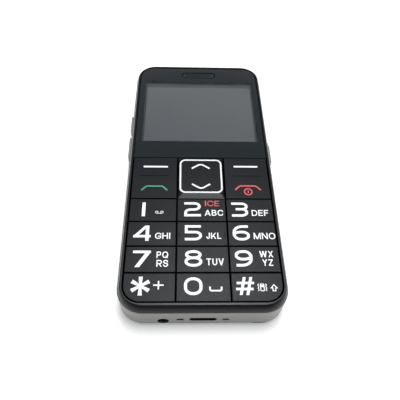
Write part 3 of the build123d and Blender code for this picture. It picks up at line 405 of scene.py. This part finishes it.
def fill_areas(areas):
    """Triangles that fill flat areas, and a table of which areas each triangle lies in.

    The areas are convex, run anticlockwise and may overlap. A triangle lies in an area if its
    middle is to the left of each of the area's edges.
    """
    counts = np.cumsum([0] + [len(area) for area in areas])
    rings = [list(range(start, end)) for start, end in zip(counts[:-1], counts[1:])]
    merged_within = 1e-5
    flat = (np.concatenate(areas) / mm).tolist()
    filled = delaunay_2d_cdt(flat, [], rings, 0, merged_within, False)
    points = np.array(filled[0]) * mm
    corners = np.array(filled[2])
    first, second, third = (points[corners[:, side]] for side in range(3))
    clockwise = left_of(second - first, third - first) < 0
    corners[clockwise] = corners[clockwise][:, ::-1]
    middles = (first + second + third) / 3
    inside = []
    for area in areas:
        start = np.asarray(area)
        along = np.roll(start, -1, axis=0) - start
        inside.append((left_of(along, middles[:, None] - start) > 0).all(1))
    inside = np.array(inside).T
    kept = inside.any(1)
    used, corners = np.unique(corners[kept], return_inverse=True)
    return points[used], corners.reshape(-1, 3), inside[kept]


weld_reach = 0.0005 * mm


def new_piece(name, parts, materials, body, smooth_angle=30):
    """One welded mesh object from parts of (points, faces, material index), riding on a body."""
    starts = np.cumsum([0] + [len(points) for points, _, _ in parts])
    faces = []
    for start, (_, rows, _) in zip(starts, parts):
        faces += (rows + start).tolist()
    mesh = bpy.data.meshes.new(name)
    mesh.from_pydata(np.concatenate([points for points, _, _ in parts]), [], faces)
    indices = np.concatenate([np.full(len(rows), index, np.int32) for _, rows, index in parts])
    mesh.polygons.foreach_set("material_index", indices)
    weld = bmesh.new()
    weld.from_mesh(mesh)
    bmesh.ops.remove_doubles(weld, verts=weld.verts, dist=weld_reach)
    weld.to_mesh(mesh)
    weld.free()
    for material in materials:
        mesh.materials.append(material)
    mesh.polygons.foreach_set("use_smooth", np.ones(len(mesh.polygons), bool))
    mesh.set_sharp_from_angle(angle=np.radians(smooth_angle))
    piece = bpy.data.objects.new(name, mesh)
    bpy.context.scene.collection.objects.link(piece)
    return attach(piece, body)


def stacked_rings(rings, flip=False):
    """Faces between closed rings of as many points each, stacked in order.

    Each face joins a point, the next one round the ring, and the two over them in the ring above.
    """
    count = len(rings[0])
    points = np.concatenate(rings)
    step = np.arange(count)
    follow = (step + 1) % count
    faces = np.concatenate([
        np.stack([step, follow, follow + count, step + count], 1) + count * level
        for level in range(len(rings) - 1)
    ])
    return points, (faces[:, ::-1] if flip else faces)


def raised(outline, height):
    """A flat outline's points at a height."""
    return np.column_stack([outline, np.full(len(outline), height)])


def cast_acrylic(name, roughness):
    """Hard, glossy acrylic, whose surface has waves 6 mm long that are too low to be felt."""
    wave_length, wave_depth = 6 * mm, 0.002 * mm
    material, tree, shader, place = new_finish(name, roughness, ior=1.49)
    relief = add_node(
        tree, "Bump", {"Strength": 0.3, "Distance": wave_depth},
        {"Height": cloud(tree, place, wave_length, 0.0, 1.0)},
    )
    tree.links.new(relief.outputs["Normal"], shader.inputs["Normal"])
    return material, tree, shader, place


def clear_acrylic():
    """Acrylic with nothing behind it, which shows the display."""
    material, _, shader, _ = cast_acrylic("clear_acrylic", 0.02)
    shader.inputs["Base Color"].default_value = linear("#FBFCFC")
    shader.inputs["Transmission Weight"].default_value = 1.0
    return material


def inked_acrylic():
    """Acrylic over black ink: a deep, faintly blue black under a mirror-like surface."""
    material, tree, shader, place = cast_acrylic("inked_acrylic", 0.03)
    ink_cloud = 3 * mm
    tones = two_tones(tree, cloud(tree, place, ink_cloud, 0.0, 1.0), "#0D1519", "#10181C")
    tree.links.new(tones, shader.inputs["Base Color"])
    return material


window_low, window_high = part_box("display_window")
slot_low, slot_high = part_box("earpiece_mesh")
window_corner = 6.5 * mm
foot_corner = 0.3 * mm
window_edge = 0.3 * mm
window_air = 0.02 * mm
slot_gap = 0.45 * mm
slot_flat = 0.001 * mm
sharp_share = 0.1
clear_half_width = 26.1 * mm
clear_low = 12.3 * mm
clear_high = 52.6 * mm
clear_corner = 0.1 * mm


def window_outline(inset):
    """The window's outline drawn in by an inset: at the foot, which is sharp, by a share of it."""
    left, right = window_low.x + inset, window_high.x - inset
    bottom, top = window_low.y + inset * sharp_share, window_high.y - inset
    cuts = [(foot_corner,) * 2] * 2 + [(window_corner - inset,) * 2] * 2
    return rounded_path(
        [(left, bottom), (right, bottom), (right, top), (left, top)], cuts, steps=16
    )


def slot_outline(outset):
    """The earpiece slot's outline let out by a share of an outset, with half-round ends.

    A hair of each end stays flat, so that its two curves don't share a point.
    """
    reach = slot_gap + outset * sharp_share
    left, right = slot_low.x - reach, slot_high.x + reach
    bottom, top = slot_low.y - reach, slot_high.y + reach
    return box_path(left, right, bottom, top, (top - bottom) / 2 - slot_flat, steps=12)


bend = np.linspace(0, np.pi / 2, 6)
window_back = window_low.z + window_air
window_levels = [(0.0, window_back)] + [
    (window_edge * (1 - np.cos(angle)), window_high.z - window_edge * (1 - np.sin(angle)))
    for angle in bend
]
outer_wall = stacked_rings([raised(window_outline(inset), z) for inset, z in window_levels])
slot_wall = stacked_rings([raised(slot_outline(inset), z) for inset, z in window_levels], flip=True)
opening = box_path(
    -clear_half_width, clear_half_width, clear_low, clear_high, clear_corner, steps=4
)
window_parts = [(*outer_wall, 1), (*slot_wall, 1)]
for inset, height, turn in ((window_edge, window_high.z, 1), (0.0, window_back, -1)):
    points, corners, inside = fill_areas([window_outline(inset), slot_outline(inset), opening])
    solid = inside[:, 0] & ~inside[:, 1]
    for index, part in ((0, inside[:, 2]), (1, solid & ~inside[:, 2])):
        window_parts.append((raised(points, height), corners[part][:, ::turn], index))
window = new_piece("acrylic_window", window_parts, [clear_acrylic(), inked_acrylic()], "phone")
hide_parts("display_window")

# Earpiece mesh: etched steel sheet, drawn into a shallow cap and painted a dark greenish grey.
# It sits in the window's slot, and its side is painted black without gloss, as painted shade in the
# gap round it.
dress(
    moulded("painted_steel_mesh", "#20292A", "#283132", 0.42, 0.2 * mm, 0.004 * mm, specular=0.3,
            painted_shade_below=14.56 * mm),
    "earpiece_mesh",
)

# Key caps: moulded in black polycarbonate, each with a stem over its dome. A soft matt lacquer
# greys under a broad light, and has a fine even grain that the finger feels.
key_names = [name for name in nodes if name.startswith("key_")]
# Below this height the sides of the key caps and of the navigation key are painted black without
# gloss: painted shade in the gaps round them.
key_shade_height = 14.2 * mm
key_lacquer = moulded(
    "matt_black_key_lacquer", "#050A10", "#090E14", 0.4, 0.22 * mm, 0.004 * mm, specular=0.185,
    painted_shade_below=key_shade_height,
)
dress(key_lacquer, *key_names, "left_function_key", "right_function_key")

# Navigation key: the same black polycarbonate with a satin lacquer, glossier than the digit
# keys', so that its sloping skirt catches the light while its flat top stays dark.
dress(
    moulded("satin_black_key_lacquer", "#060B10", "#0A0F14", 0.29, 0.22 * mm, 0.003 * mm,
            specular=0.24, painted_shade_below=key_shade_height),
    "nav_key",
)

# Navigation key ring: a square frame moulded in white polycarbonate, and pressed over the key's
# top edge. It has a plain satin gloss.
dress(
    moulded("white_polycarbonate", "#F1F3F3", "#F8FAFA", 0.3, 0.3 * mm, 0.002 * mm),
    "nav_key_ring",
)


# Key legends: digits, signs and letters pad-printed on the caps in white ink, 0.03 mm thick,
# with a rim that stands out crisply from the grain round it.
def ribbon(path, width, closed=False):
    """Four-cornered areas along a path, half a width to each side.

    At a point between two directions the sides meet on their mitre, which is the sum of the two
    normals over one plus their product.
    """
    path = np.asarray(path, float)
    ahead = np.roll(path, -1, axis=0) - path
    ahead = ahead / np.linalg.norm(ahead, axis=1, keepdims=True)
    normal = np.column_stack([-ahead[:, 1], ahead[:, 0]])
    earlier = np.roll(normal, 1, axis=0)
    if not closed:
        earlier[0] = normal[0]
        normal[-1] = earlier[-1]
    mitre = (normal + earlier) / (1 + (normal * earlier).sum(1, keepdims=True))
    left, right = path + mitre * width / 2, path - mitre * width / 2
    quads = np.stack([right, np.roll(right, -1, axis=0), np.roll(left, -1, axis=0), left], 1)
    return list(quads if closed else quads[:-1])


# A digit is drawn on its strokes' middle lines in a box from 0 to 1 each way. A corner is its
# place across and up, and the shares of the box that its curve takes before and after it.
digit_share_strokes = {
    "2": [[(0, 1, 0, 0), (1, 1, 0.34, 0.26), (1, 0.48, 0.26, 0.4), (0, 0.48, 0.4, 0.26),
           (0, 0, 0, 0), (1, 0, 0, 0)]],
    "3": [[(0, 1, 0, 0), (1, 1, 0.34, 0.24), (1, 0.53, 0.23, 0.34), (0.3, 0.53, 0, 0)],
          [(0.3, 0.53, 0, 0), (1, 0.53, 0.34, 0.26), (1, 0, 0.27, 0.4), (0, 0, 0, 0)]],
    "5": [[(0.94, 1, 0, 0), (0, 1, 0, 0), (0, 0.55, 0, 0), (1, 0.55, 0.38, 0.27),
           (1, 0, 0.28, 0.42), (0, 0, 0, 0)]],
    "6": [[(0.92, 1, 0, 0), (0, 1, 0.62, 0.46), (0, 0, 0.4, 0.42), (1, 0, 0.42, 0.27),
           (1, 0.56, 0.28, 0.42), (0, 0.56, 0.5, 0.2), (0, 0.34, 0, 0)]],
    "8": [[(0.04, 0.54, 0.23, 0.42), (0.96, 0.54, 0.42, 0.23), (0.96, 1, 0.23, 0.42),
           (0.04, 1, 0.42, 0.23), (0.04, 0.54, 0, 0)],
          [(0, 0, 0.27, 0.45), (1, 0, 0.45, 0.27), (1, 0.54, 0.27, 0.45),
           (0, 0.54, 0.45, 0.27), (0, 0, 0, 0)]],
    "0": [[(0, 0, 0.4, 0.46), (1, 0, 0.46, 0.4), (1, 1, 0.4, 0.46), (0, 1, 0.46, 0.4),
           (0, 0, 0, 0)]],
}
digit_width = 6.55
digit_height = 6.75
digit_stroke = 1.08


def stroked(share_strokes, width, height, thick):
    """A sign's areas in millimetres from its strokes, its box's lower left corner at zero.

    A stroke that ends where it starts is closed. An open one runs on by half its thickness.
    """
    areas = []
    span = np.array([width - thick, height - thick])
    for stroke in share_strokes:
        shares = np.array(stroke)
        closed = bool(np.all(shares[0, :2] == shares[-1, :2]) and len(shares) > 2)
        shares = shares[:-1] if closed else shares
        corners = thick / 2 + shares[:, :2] * span
        ahead = np.abs(np.roll(corners, -1, axis=0) - corners)
        after_level = ahead[:, 0] > ahead[:, 1]
        before_level = np.roll(after_level, 1)
        cuts = np.column_stack([
            shares[:, 2] * np.where(before_level, span[0], span[1]),
            shares[:, 3] * np.where(after_level, span[0], span[1]),
        ])
        path = rounded_path(corners, cuts, closed=closed, steps=12)
        if not closed:
            for end, inner in ((0, 1), (-1, -2)):
                along = path[end] - path[inner]
                path[end] += along / np.linalg.norm(along) * thick / 2
        areas += ribbon(path, thick, closed)
    return areas


def digit(name):
    """The areas of a digit that is drawn with strokes."""
    return stroked(digit_share_strokes[name], digit_width, digit_height, digit_stroke)


def slanted_bar(low_left, high_left, bottom, top, width):
    """A four-cornered bar with level ends, given by its left edge's two ends."""
    return np.array([
        (low_left, bottom), (low_left + width, bottom), (high_left + width, top), (high_left, top),
    ])


def digit_areas(name):
    """The areas of any digit or sign on a key, in millimetres."""
    right, top, stroke = digit_width, digit_height, digit_stroke
    upright, tuck = 1.3, 0.6 * stroke
    if name == "1":
        shorter = 0.2
        return [slanted_bar(0, 0, 0, top - shorter, upright)]
    if name == "4":
        stem, level, slope, overlap = 0.7 * right, 1.45, 1.5, 0.25
        return [
            slanted_bar(stem, stem, 0, top, upright),
            slanted_bar(0, 0, level, level + stroke, right),
            slanted_bar(0, stem - overlap, level + tuck, top, slope),
        ]
    if name == "7":
        foot, leg = 0.85, 1.75
        return [
            slanted_bar(0, 0, top - stroke, top, right),
            slanted_bar(foot, right - leg, 0, top - tuck, leg),
        ]
    if name == "9":
        return [np.array([right, top]) - area for area in digit("6")]
    if name == "star":
        taller, near, far, length = 0.3, 0.4, 0.74, 3.55
        angle = np.radians(np.arange(90, 450, 60))
        reach = np.column_stack([np.cos(angle), np.sin(angle)])
        side = np.column_stack([-reach[:, 1], reach[:, 0]])
        middle = np.array([right, top + taller]) / 2
        return list(np.stack([
            middle - side * near, middle + reach * length - side * far,
            middle + reach * length + side * far, middle + side * near,
        ], 1))
    if name == "hash":
        lean, taller, bar, level, narrower = 1.6, 0.1, 1.05, 0.95, 0.35
        uprights = [slanted_bar(left, left + lean, 0, top + taller, bar) for left in (1.1, 3.45)]
        levels = [
            slanted_bar(left, left, low, low + level, right - narrower)
            for left, low in ((0.0, 1.8), (0.35, 4.1))
        ]
        return uprights + levels
    return digit(name)


# Letters: each one's width as a share of its height, the strokes of the curved ones, and the
# bars of the straight ones. A bar is its left edge's two ends, its bottom, its top and its width.
letter_widths = dict(zip("ABCDEFGHIJKLMNOPQRSTUVWXYZ", (
    1.0, 0.8, 0.92, 0.86, 0.7, 0.68, 0.94, 0.84, 0.2, 0.6, 0.86, 0.64, 1.08, 0.9, 1.0, 0.78, 1.0,
    0.84, 0.78, 0.82, 0.84, 0.94, 1.36, 0.9, 0.88, 0.8,
)))
round_strokes = [[(0, 0, 0.44, 0.48), (1, 0, 0.48, 0.44), (1, 1, 0.44, 0.48),
                  (0, 1, 0.48, 0.44), (0, 0, 0, 0)]]
stem_and_bowl = [[(0, 0, 0, 0), (0, 1, 0, 0), (1, 1, 0.4, 0.26), (1, 0.44, 0.26, 0.4),
                  (0, 0.44, 0, 0)]]
letter_strokes = {
    "B": [[(0, 0, 0, 0), (1, 0, 0.4, 0.26), (1, 0.53, 0.26, 0.4), (0, 0.53, 0, 0), (0, 0, 0, 0)],
          [(0, 0.53, 0, 0), (0.92, 0.53, 0.4, 0.22), (0.92, 1, 0.22, 0.4), (0, 1, 0, 0),
           (0, 0.53, 0, 0)]],
    "C": [[(1, 0.76, 0, 0), (1, 1, 0.2, 0.48), (0, 1, 0.48, 0.46), (0, 0, 0.46, 0.48),
           (1, 0, 0.48, 0.2), (1, 0.24, 0, 0)]],
    "D": [[(0, 0, 0, 0), (1, 0, 0.6, 0.46), (1, 1, 0.46, 0.6), (0, 1, 0, 0), (0, 0, 0, 0)]],
    "G": [[(1, 0.78, 0, 0), (1, 1, 0.2, 0.48), (0, 1, 0.48, 0.46), (0, 0, 0.46, 0.48),
           (1, 0, 0.48, 0.24), (1, 0.44, 0, 0), (0.56, 0.44, 0, 0)]],
    "J": [[(1, 1, 0, 0), (1, 0, 0.34, 0.48), (0, 0, 0.48, 0.24), (0, 0.28, 0, 0)]],
    "O": round_strokes,
    "P": stem_and_bowl,
    "Q": round_strokes,
    "R": stem_and_bowl,
    "S": [[(0.96, 0.78, 0, 0), (0.96, 1, 0.18, 0.46), (0.03, 1, 0.46, 0.22),
           (0.03, 0.52, 0.22, 0.46), (1, 0.52, 0.46, 0.24), (1, 0, 0.24, 0.48),
           (0, 0, 0.48, 0.18), (0, 0.22, 0, 0)]],
    "U": [[(0, 1, 0, 0), (0, 0, 0.4, 0.48), (1, 0, 0.48, 0.4), (1, 1, 0, 0)]],
}
letter_stroke = 0.42
letter_gap = 0.42
slant_share = 1.12
waist_share = 0.9


def letter(name, width, height, thick):
    """A letter's areas in millimetres, its box's lower left corner at zero.

    A slanted bar is a little wider than a stem, so that both look as thick. The table's own
    numbers are the shares of the letter's width, height or stroke at which its bars end.
    """
    slant = slant_share * thick
    right, middle = width - slant, (width - slant) / 2
    stem, far_stem, mid_stem = (
        (left, left, 0, height, thick) for left in (0, width - thick, (width - thick) / 2)
    )
    foot, head = (0, 0, 0, thick, width), (0, 0, height - thick, height, width)
    belt = (0, 0, (height - thick) / 2, (height + thick) / 2)
    waist = (*belt, waist_share * width)
    bars = {
        "A": [(0, middle, 0, height, slant), (right, middle, 0, height, slant),
              (0.2 * width, 0.2 * width, 0.22 * height, 0.22 * height + 0.9 * thick, 0.6 * width)],
        "E": [stem, foot, waist, head],
        "F": [stem, waist, head],
        "H": [stem, far_stem, (*belt, width)],
        "I": [(0, 0, 0, height, width)],
        "K": [stem, (0.5 * thick, right, 0.32 * height, height, slant),
              (right, 0.28 * width, 0, 0.62 * height, slant)],
        "L": [stem, foot],
        "M": [stem, far_stem, (middle, 0, 0, height, slant), (middle, right, 0, height, slant)],
        "N": [stem, far_stem, (right, 0, 0, height, slant)],
        "Q": [(right, 0.5 * width, 0, 0.34 * height, slant)],
        "R": [(right, 0.4 * width, 0, 0.46 * height, slant)],
        "T": [head, mid_stem],
        "V": [(middle, 0, 0, height, slant), (middle, right, 0, height, slant)],
        "W": [(low * width - slant / 2, high, 0, height, slant) for low, high in
              ((0.27, 0), (0.27, middle), (0.73, middle), (0.73, right))],
        "X": [(0, right, 0, height, slant), (right, 0, 0, height, slant)],
        "Y": [(middle, 0, 0.4 * height, height, slant),
              (middle, right, 0.4 * height, height, slant),
              (*mid_stem[:2], 0, 0.46 * height, thick)],
        "Z": [foot, head, (0, right, 0.6 * thick, height - 0.6 * thick, slant)],
    }
    curved = stroked(letter_strokes[name], width, height, thick) if name in letter_strokes else []
    return curved + [slanted_bar(*bar) for bar in bars.get(name, [])]


def lettering(text, left, bottom, width, height, thick=letter_stroke):
    """Letters that share a box's width after the gaps between them."""
    shares = np.array([letter_widths[name] for name in text])
    widths = shares / shares.sum() * (width - letter_gap * (len(text) - 1))
    starts = left + np.concatenate([[0], np.cumsum(widths + letter_gap)[:-1]])
    return [
        area + (start, bottom)
        for name, start, wide in zip(text, starts, widths)
        for area in letter(name, wide, height, thick)
    ]


def printed(name, areas, origin, base, thickness, material, body):
    """A flat print as one thin slab: filled top and bottom, and a wall round every edge.

    areas are in millimetres from an origin in metres. An edge that only one triangle uses is on
    the print's border, and gets a wall.
    """
    points, corners, _ = fill_areas([np.asarray(area) * mm + origin for area in areas])
    count = len(points)
    edges = np.concatenate([corners[:, [0, 1]], corners[:, [1, 2]], corners[:, [2, 0]]])
    there, back = edges @ (count, 1), edges @ (1, count)
    border = edges[~np.isin(there, back)]
    start, end = border.T
    walls = np.column_stack([end, start, start + count, end + count])
    solid = np.concatenate([raised(points, base + thickness), raised(points, base)])
    parts = [(solid, rows, 0) for rows in (corners, corners[:, ::-1] + count, walls)]
    return new_piece(name, parts, [material], body)


white_ink = moulded("white_printing_ink", "#FCFCFC", "#FFFFFF", 0.45, 0.2 * mm, 0.002 * mm)
red_ink = moulded("red_printing_ink", "#D04A4F", "#D65459", 0.45, 0.2 * mm, 0.002 * mm)
green_ink = moulded("green_printing_ink", "#3A9373", "#439C7D", 0.45, 0.2 * mm, 0.002 * mm)
# A print's underside is sunk 0.01 mm into the cap, which leaves 0.03 mm of it standing proud.
ink_depth = 0.01 * mm
ink_thickness = 0.04 * mm
key_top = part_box("key_1")[1].z
ink_base = key_top - ink_depth

# Where each digit stands: how far it is from the key's left edge, and how far its middle lies
# above the key's middle.
digit_lefts = {
    "1": 4.9, "2": 2.7, "3": 1.95, "4": 2.3, "5": 2.95, "6": 1.75, "7": 2.7, "8": 2.85, "9": 1.9,
    "star": 2.9, "0": 2.7, "hash": 1.55,
}
digit_lifts = {
    "1": 0.25, "2": 0.25, "3": 0.2, "4": 0.15, "5": 0.35, "6": 0.35, "7": 0.15, "8": 0.3,
    "9": 0.3, "star": 0.3, "0": 0.35, "hash": 0.3,
}

# Letters beside the digits: the key, left edge, middle above the key's middle, width and height.
letter_rows = [
    ("2", "ABC", 10.75, -1.4, 7.3, 2.75), ("3", "DEF", 9.85, -1.4, 6.7, 2.8),
    ("4", "GHI", 10.5, -1.05, 5.8, 2.7), ("5", "JKL", 11.15, -1.0, 5.65, 2.7),
    ("6", "MNO", 9.7, -1.05, 8.35, 2.8), ("7", "PQ", 11.4, 1.8, 4.3, 2.7),
    ("7", "RS", 11.5, -1.75, 4.25, 2.8), ("8", "TUV", 10.9, -1.15, 6.45, 2.8),
    ("9", "WX", 11.15, 2.05, 5.15, 2.65), ("9", "YZ", 11.95, -1.45, 3.95, 2.65),
]


def key_origin(name):
    """A key cap's left edge and the middle of its height, in metres."""
    low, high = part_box(name)
    return np.array([low.x, (low.y + high.y) / 2])


# Small signs: plus, space, voice mail, ringing phone and shift arrow, in millimetres from the
# middle of the sign.
def plus_sign():
    """Two crossed bars."""
    wide, tall, half = 1.85, 1.6, 0.25
    return [
        slanted_bar(-wide, -wide, -half, half, 2 * wide),
        slanted_bar(-half, -half, -tall, tall, 2 * half),
    ]


def space_sign():
    """A shallow tray open at the top, with rounded corners."""
    wide, base, rim, curve, stroke = 2.05, -0.7, 0.85, 0.6, 0.6
    corners = [(-wide, rim), (-wide, base), (wide, base), (wide, rim)]
    return ribbon(rounded_path(corners, curve, closed=False, steps=6), stroke)


def mail_sign():
    """Two small rings on a line, like the reels of a tape."""
    apart, radius, curve, stroke, line = 1.0, 0.5, 0.49, 0.24, 0.7
    areas = [slanted_bar(-line, -line, -radius - stroke / 2, -radius + stroke / 2, 2 * line)]
    for middle in (-apart, apart):
        ring = box_path(middle - radius, middle + radius, -radius, radius, curve, steps=5)
        areas += ribbon(ring, stroke, closed=True)
    return areas


def ringing_sign():
    """An upright phone with a filled screen, and a zigzag wave at each side."""
    wide, tall, curve, stroke = 0.62, 1.3, 0.2, 0.3
    screen, screen_low, screen_high = 0.6, 0.1, 0.95
    wave_stroke = 0.28
    wave = np.array([
        (1.25, 1.4), (1.55, 0.85), (1.2, 0.3), (1.55, -0.3), (1.2, -0.85), (1.5, -1.4),
    ])
    phone = ribbon(box_path(-wide, wide, -tall, tall, curve, steps=4), stroke, closed=True)
    phone += [slanted_bar(-screen, -screen, screen_low, screen_high, 2 * screen)]
    return phone + ribbon(wave, wave_stroke) + ribbon(wave * (-1, 1), wave_stroke)


def shift_sign():
    """An outlined arrow that points up."""
    tip, barb, shoulder, shaft, foot, stroke = 1.2, 1.08, -0.02, 0.5, -1.1, 0.33
    corners = [
        (0, tip), (barb, shoulder), (shaft, shoulder), (shaft, foot), (-shaft, foot),
        (-shaft, shoulder), (-barb, shoulder),
    ]
    return ribbon(corners, stroke, closed=True)


# The signs' keys, places from the key's left edge and above its middle.
sign_rows = [
    ("1", mail_sign, 11.75, -1.2), ("star", plus_sign, 12.55, 0.75), ("0", space_sign, 13.95, -0.7),
    ("hash", ringing_sign, 10.95, -0.2), ("hash", shift_sign, 15.15, -0.4),
]


def moved(areas, right, up):
    """Areas moved by millimetres."""
    return [np.asarray(area) + (right, up) for area in areas]


for name, lift in digit_lifts.items():
    areas = moved(digit_areas(name), digit_lefts[name], lift - digit_height / 2)
    for key, text, left, middle, width, height in letter_rows:
        if key == name:
            areas += lettering(text, left, middle - height / 2, width, height)
    for key, sign, left, middle in sign_rows:
        if key == name:
            areas += moved(sign(), left, middle)
    origin = key_origin("key_" + name)
    printed("legend_" + name, areas, origin, ink_base, ink_thickness, white_ink, "key_" + name)

# Emergency entry: the general short word for an emergency contact, pad-printed in red ink over
# the letters of the 2 key, with strokes a little thinner than theirs.
ice_left = 10.95
ice_middle = 3.1
ice_width = 5.7
ice_height = 2.65
ice_stroke = 0.38
ice = lettering(
    "ICE", ice_left, ice_middle - ice_height / 2, ice_width, ice_height, thick=ice_stroke
)
printed("legend_2_ice", ice, key_origin("key_2"), ink_base, ink_thickness, red_ink, "key_2")

# Function key marks: a white bar for each soft key, a green lifted handset for call, and a red
# handset over a ringed bar for end and power. They are pad-printed like the digits.
bar_width = 10.35
bar_height = 0.85
bar_curve = bar_height / 2.1
soft_bar = box_path(
    -bar_width / 2, bar_width / 2, -bar_height / 2, bar_height / 2, bar_curve, steps=6
)
handset_corners = [(-5.3, -1.1), (-3.3, 1.0), (3.3, 1.0), (5.3, -1.1)]
handset_curve = 0.5
handset_stroke = 0.68
handset = ribbon(
    rounded_path(handset_corners, handset_curve, closed=False, steps=6), handset_stroke
)
power_drop = 1.95
power_radius = 1.55
power_curve = power_radius * 0.995
power_stroke = 0.55
power_bar_half = 0.22
power_bar_reach = 0.75
power_ring = ribbon(
    box_path(-power_radius, power_radius, -power_radius, power_radius, power_curve),
    power_stroke, closed=True,
)
power_bar = slanted_bar(
    -power_bar_half, -power_bar_half, -power_bar_reach, power_bar_reach, 2 * power_bar_half
)
power_sign = moved(power_ring + [power_bar], 0, -power_drop)

# Each mark's key, name, ink, place from the middle of the key's box, and areas.
function_marks = [
    ("left_function_key", "left_soft_bar", white_ink, 0.17, 5.65, [soft_bar]),
    ("right_function_key", "right_soft_bar", white_ink, 0.03, 5.95, [soft_bar]),
    ("left_function_key", "call_mark", green_ink, 0.07, -5.75, handset),
    ("right_function_key", "end_mark", red_ink, 0.14, -5.4, handset + power_sign),
]
for key, name, ink, right, up, areas in function_marks:
    low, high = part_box(key)
    middle = np.array([low.x + high.x, low.y + high.y]) / 2
    printed(name, moved(areas, right, up), middle, ink_base, ink_thickness, ink, key)

# Navigation marks: an up and a down arrowhead, pad-printed in white ink on the raised square,
# each near the ring's side that it points at.
chevron = rounded_path(
    [(-3.75, -1.15), (0, 1.35), (3.75, -1.15)], [(0, 0), (1.3, 1.3), (0, 0)],
    closed=False, steps=8,
)
chevron_stroke = 0.7
chevron_reach = 5.3
marks_drop = 0.1
ring_low, ring_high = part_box("nav_key_ring")
ring_middle = np.array([ring_low.x + ring_high.x, ring_low.y + ring_high.y]) / 2
up_mark = moved(ribbon(chevron, chevron_stroke), 0, chevron_reach - marks_drop)
down_mark = moved(ribbon(chevron * (1, -1), chevron_stroke), 0, -chevron_reach - marks_drop)
printed(
    "nav_arrows", up_mark + down_mark, ring_middle, ring_low.z - ink_depth, ink_thickness,
    white_ink, "nav_key",
)

# Side keys: the volume rocker and the ribbed slider, moulded in ABS and sprayed all over with
# the housing's satin silver lacquer. They stand in slots in the housing's sides.
side_lacquer = moulded(
    "silver_lacquered_keys", silver_dark, silver_light, silver_rough, flake_size, flake_depth,
    metallic=silver_metal,
)
dress(side_lacquer, "volume_key", "slide_switch_knob")

# Floor: a broad white table that keeps the phone's soft shadow. Where the camera, glass or a
# shiny surface sees it, it is lifted to the white of the background.
floor_half = 20.0
floor_lift = 0.28
mesh = bpy.data.meshes.new("floor")
mesh.from_pydata(
    [(-floor_half, -floor_half, 0), (floor_half, -floor_half, 0), (floor_half, floor_half, 0),
     (-floor_half, floor_half, 0)], [], [(0, 1, 2, 3)]
)
floor = bpy.data.objects.new("floor", mesh)
bpy.context.scene.collection.objects.link(floor)
paper = bpy.data.materials.new("white_paper")
paper.use_nodes = True
tree = paper.node_tree
tree.nodes.clear()
matt = add_node(tree, "BsdfDiffuse", {"Color": linear("#FAFAFA")})
rays = add_node(tree, "LightPath").outputs
seen = rays["Is Camera Ray"]
for kind in ("Is Glossy Ray", "Is Transmission Ray"):
    seen = add_node(tree, "Math", links={0: seen, 1: rays[kind]}, operation="MAXIMUM").outputs[0]
lift = add_node(tree, "Math", {1: floor_lift}, {0: seen}, operation="MULTIPLY").outputs[0]
glow = add_node(tree, "Emission", links={"Strength": lift})
both = add_node(tree, "AddShader", links={0: matt.outputs[0], 1: glow.outputs[0]})
add_node(tree, "OutputMaterial", links={"Surface": both.outputs[0]})
mesh.materials.append(paper)

# Light: a soft box above the phone's top half, in a studio whose far wall is a mid grey and
# whose near wall, behind the camera, is darker. A direction's share along the phone is -1
# towards the near wall and 1 towards the far one, and the greys blend between two such shares.
box_place = (0.05, 0.115, 0.7)
box_width = 0.26
box_length = 0.45
box_radiance = 12.8
lamp = bpy.data.lights.new("soft_box", "AREA")
lamp.shape = "RECTANGLE"
lamp.size = box_width
lamp.size_y = box_length
lamp.energy = box_radiance * np.pi * box_width * box_length
soft_box = bpy.data.objects.new("soft_box", lamp)
soft_box.location = box_place
bpy.context.scene.collection.objects.link(soft_box)
far_wall = 0.58
near_wall = 0.25
near_wall_end = 0.2
far_wall_start = 0.85
world = bpy.data.worlds.new("studio")
bpy.context.scene.world = world
world.use_nodes = True
tree = world.node_tree
tree.nodes.clear()
way = add_node(tree, "TexCoord").outputs["Generated"]
along = add_node(tree, "SeparateXYZ", links={0: way}).outputs["Y"]
level = add_node(
    tree, "MapRange",
    {"From Min": near_wall_end, "From Max": far_wall_start, "To Min": near_wall,
     "To Max": far_wall}, {"Value": along},
).outputs["Result"]
sky = add_node(tree, "Background", {"Color": linear("#F6FAFE")}, {"Strength": level})
add_node(tree, "OutputWorld", links={"Surface": sky.outputs[0]})
bpy.context.scene.view_settings.view_transform = "Standard"
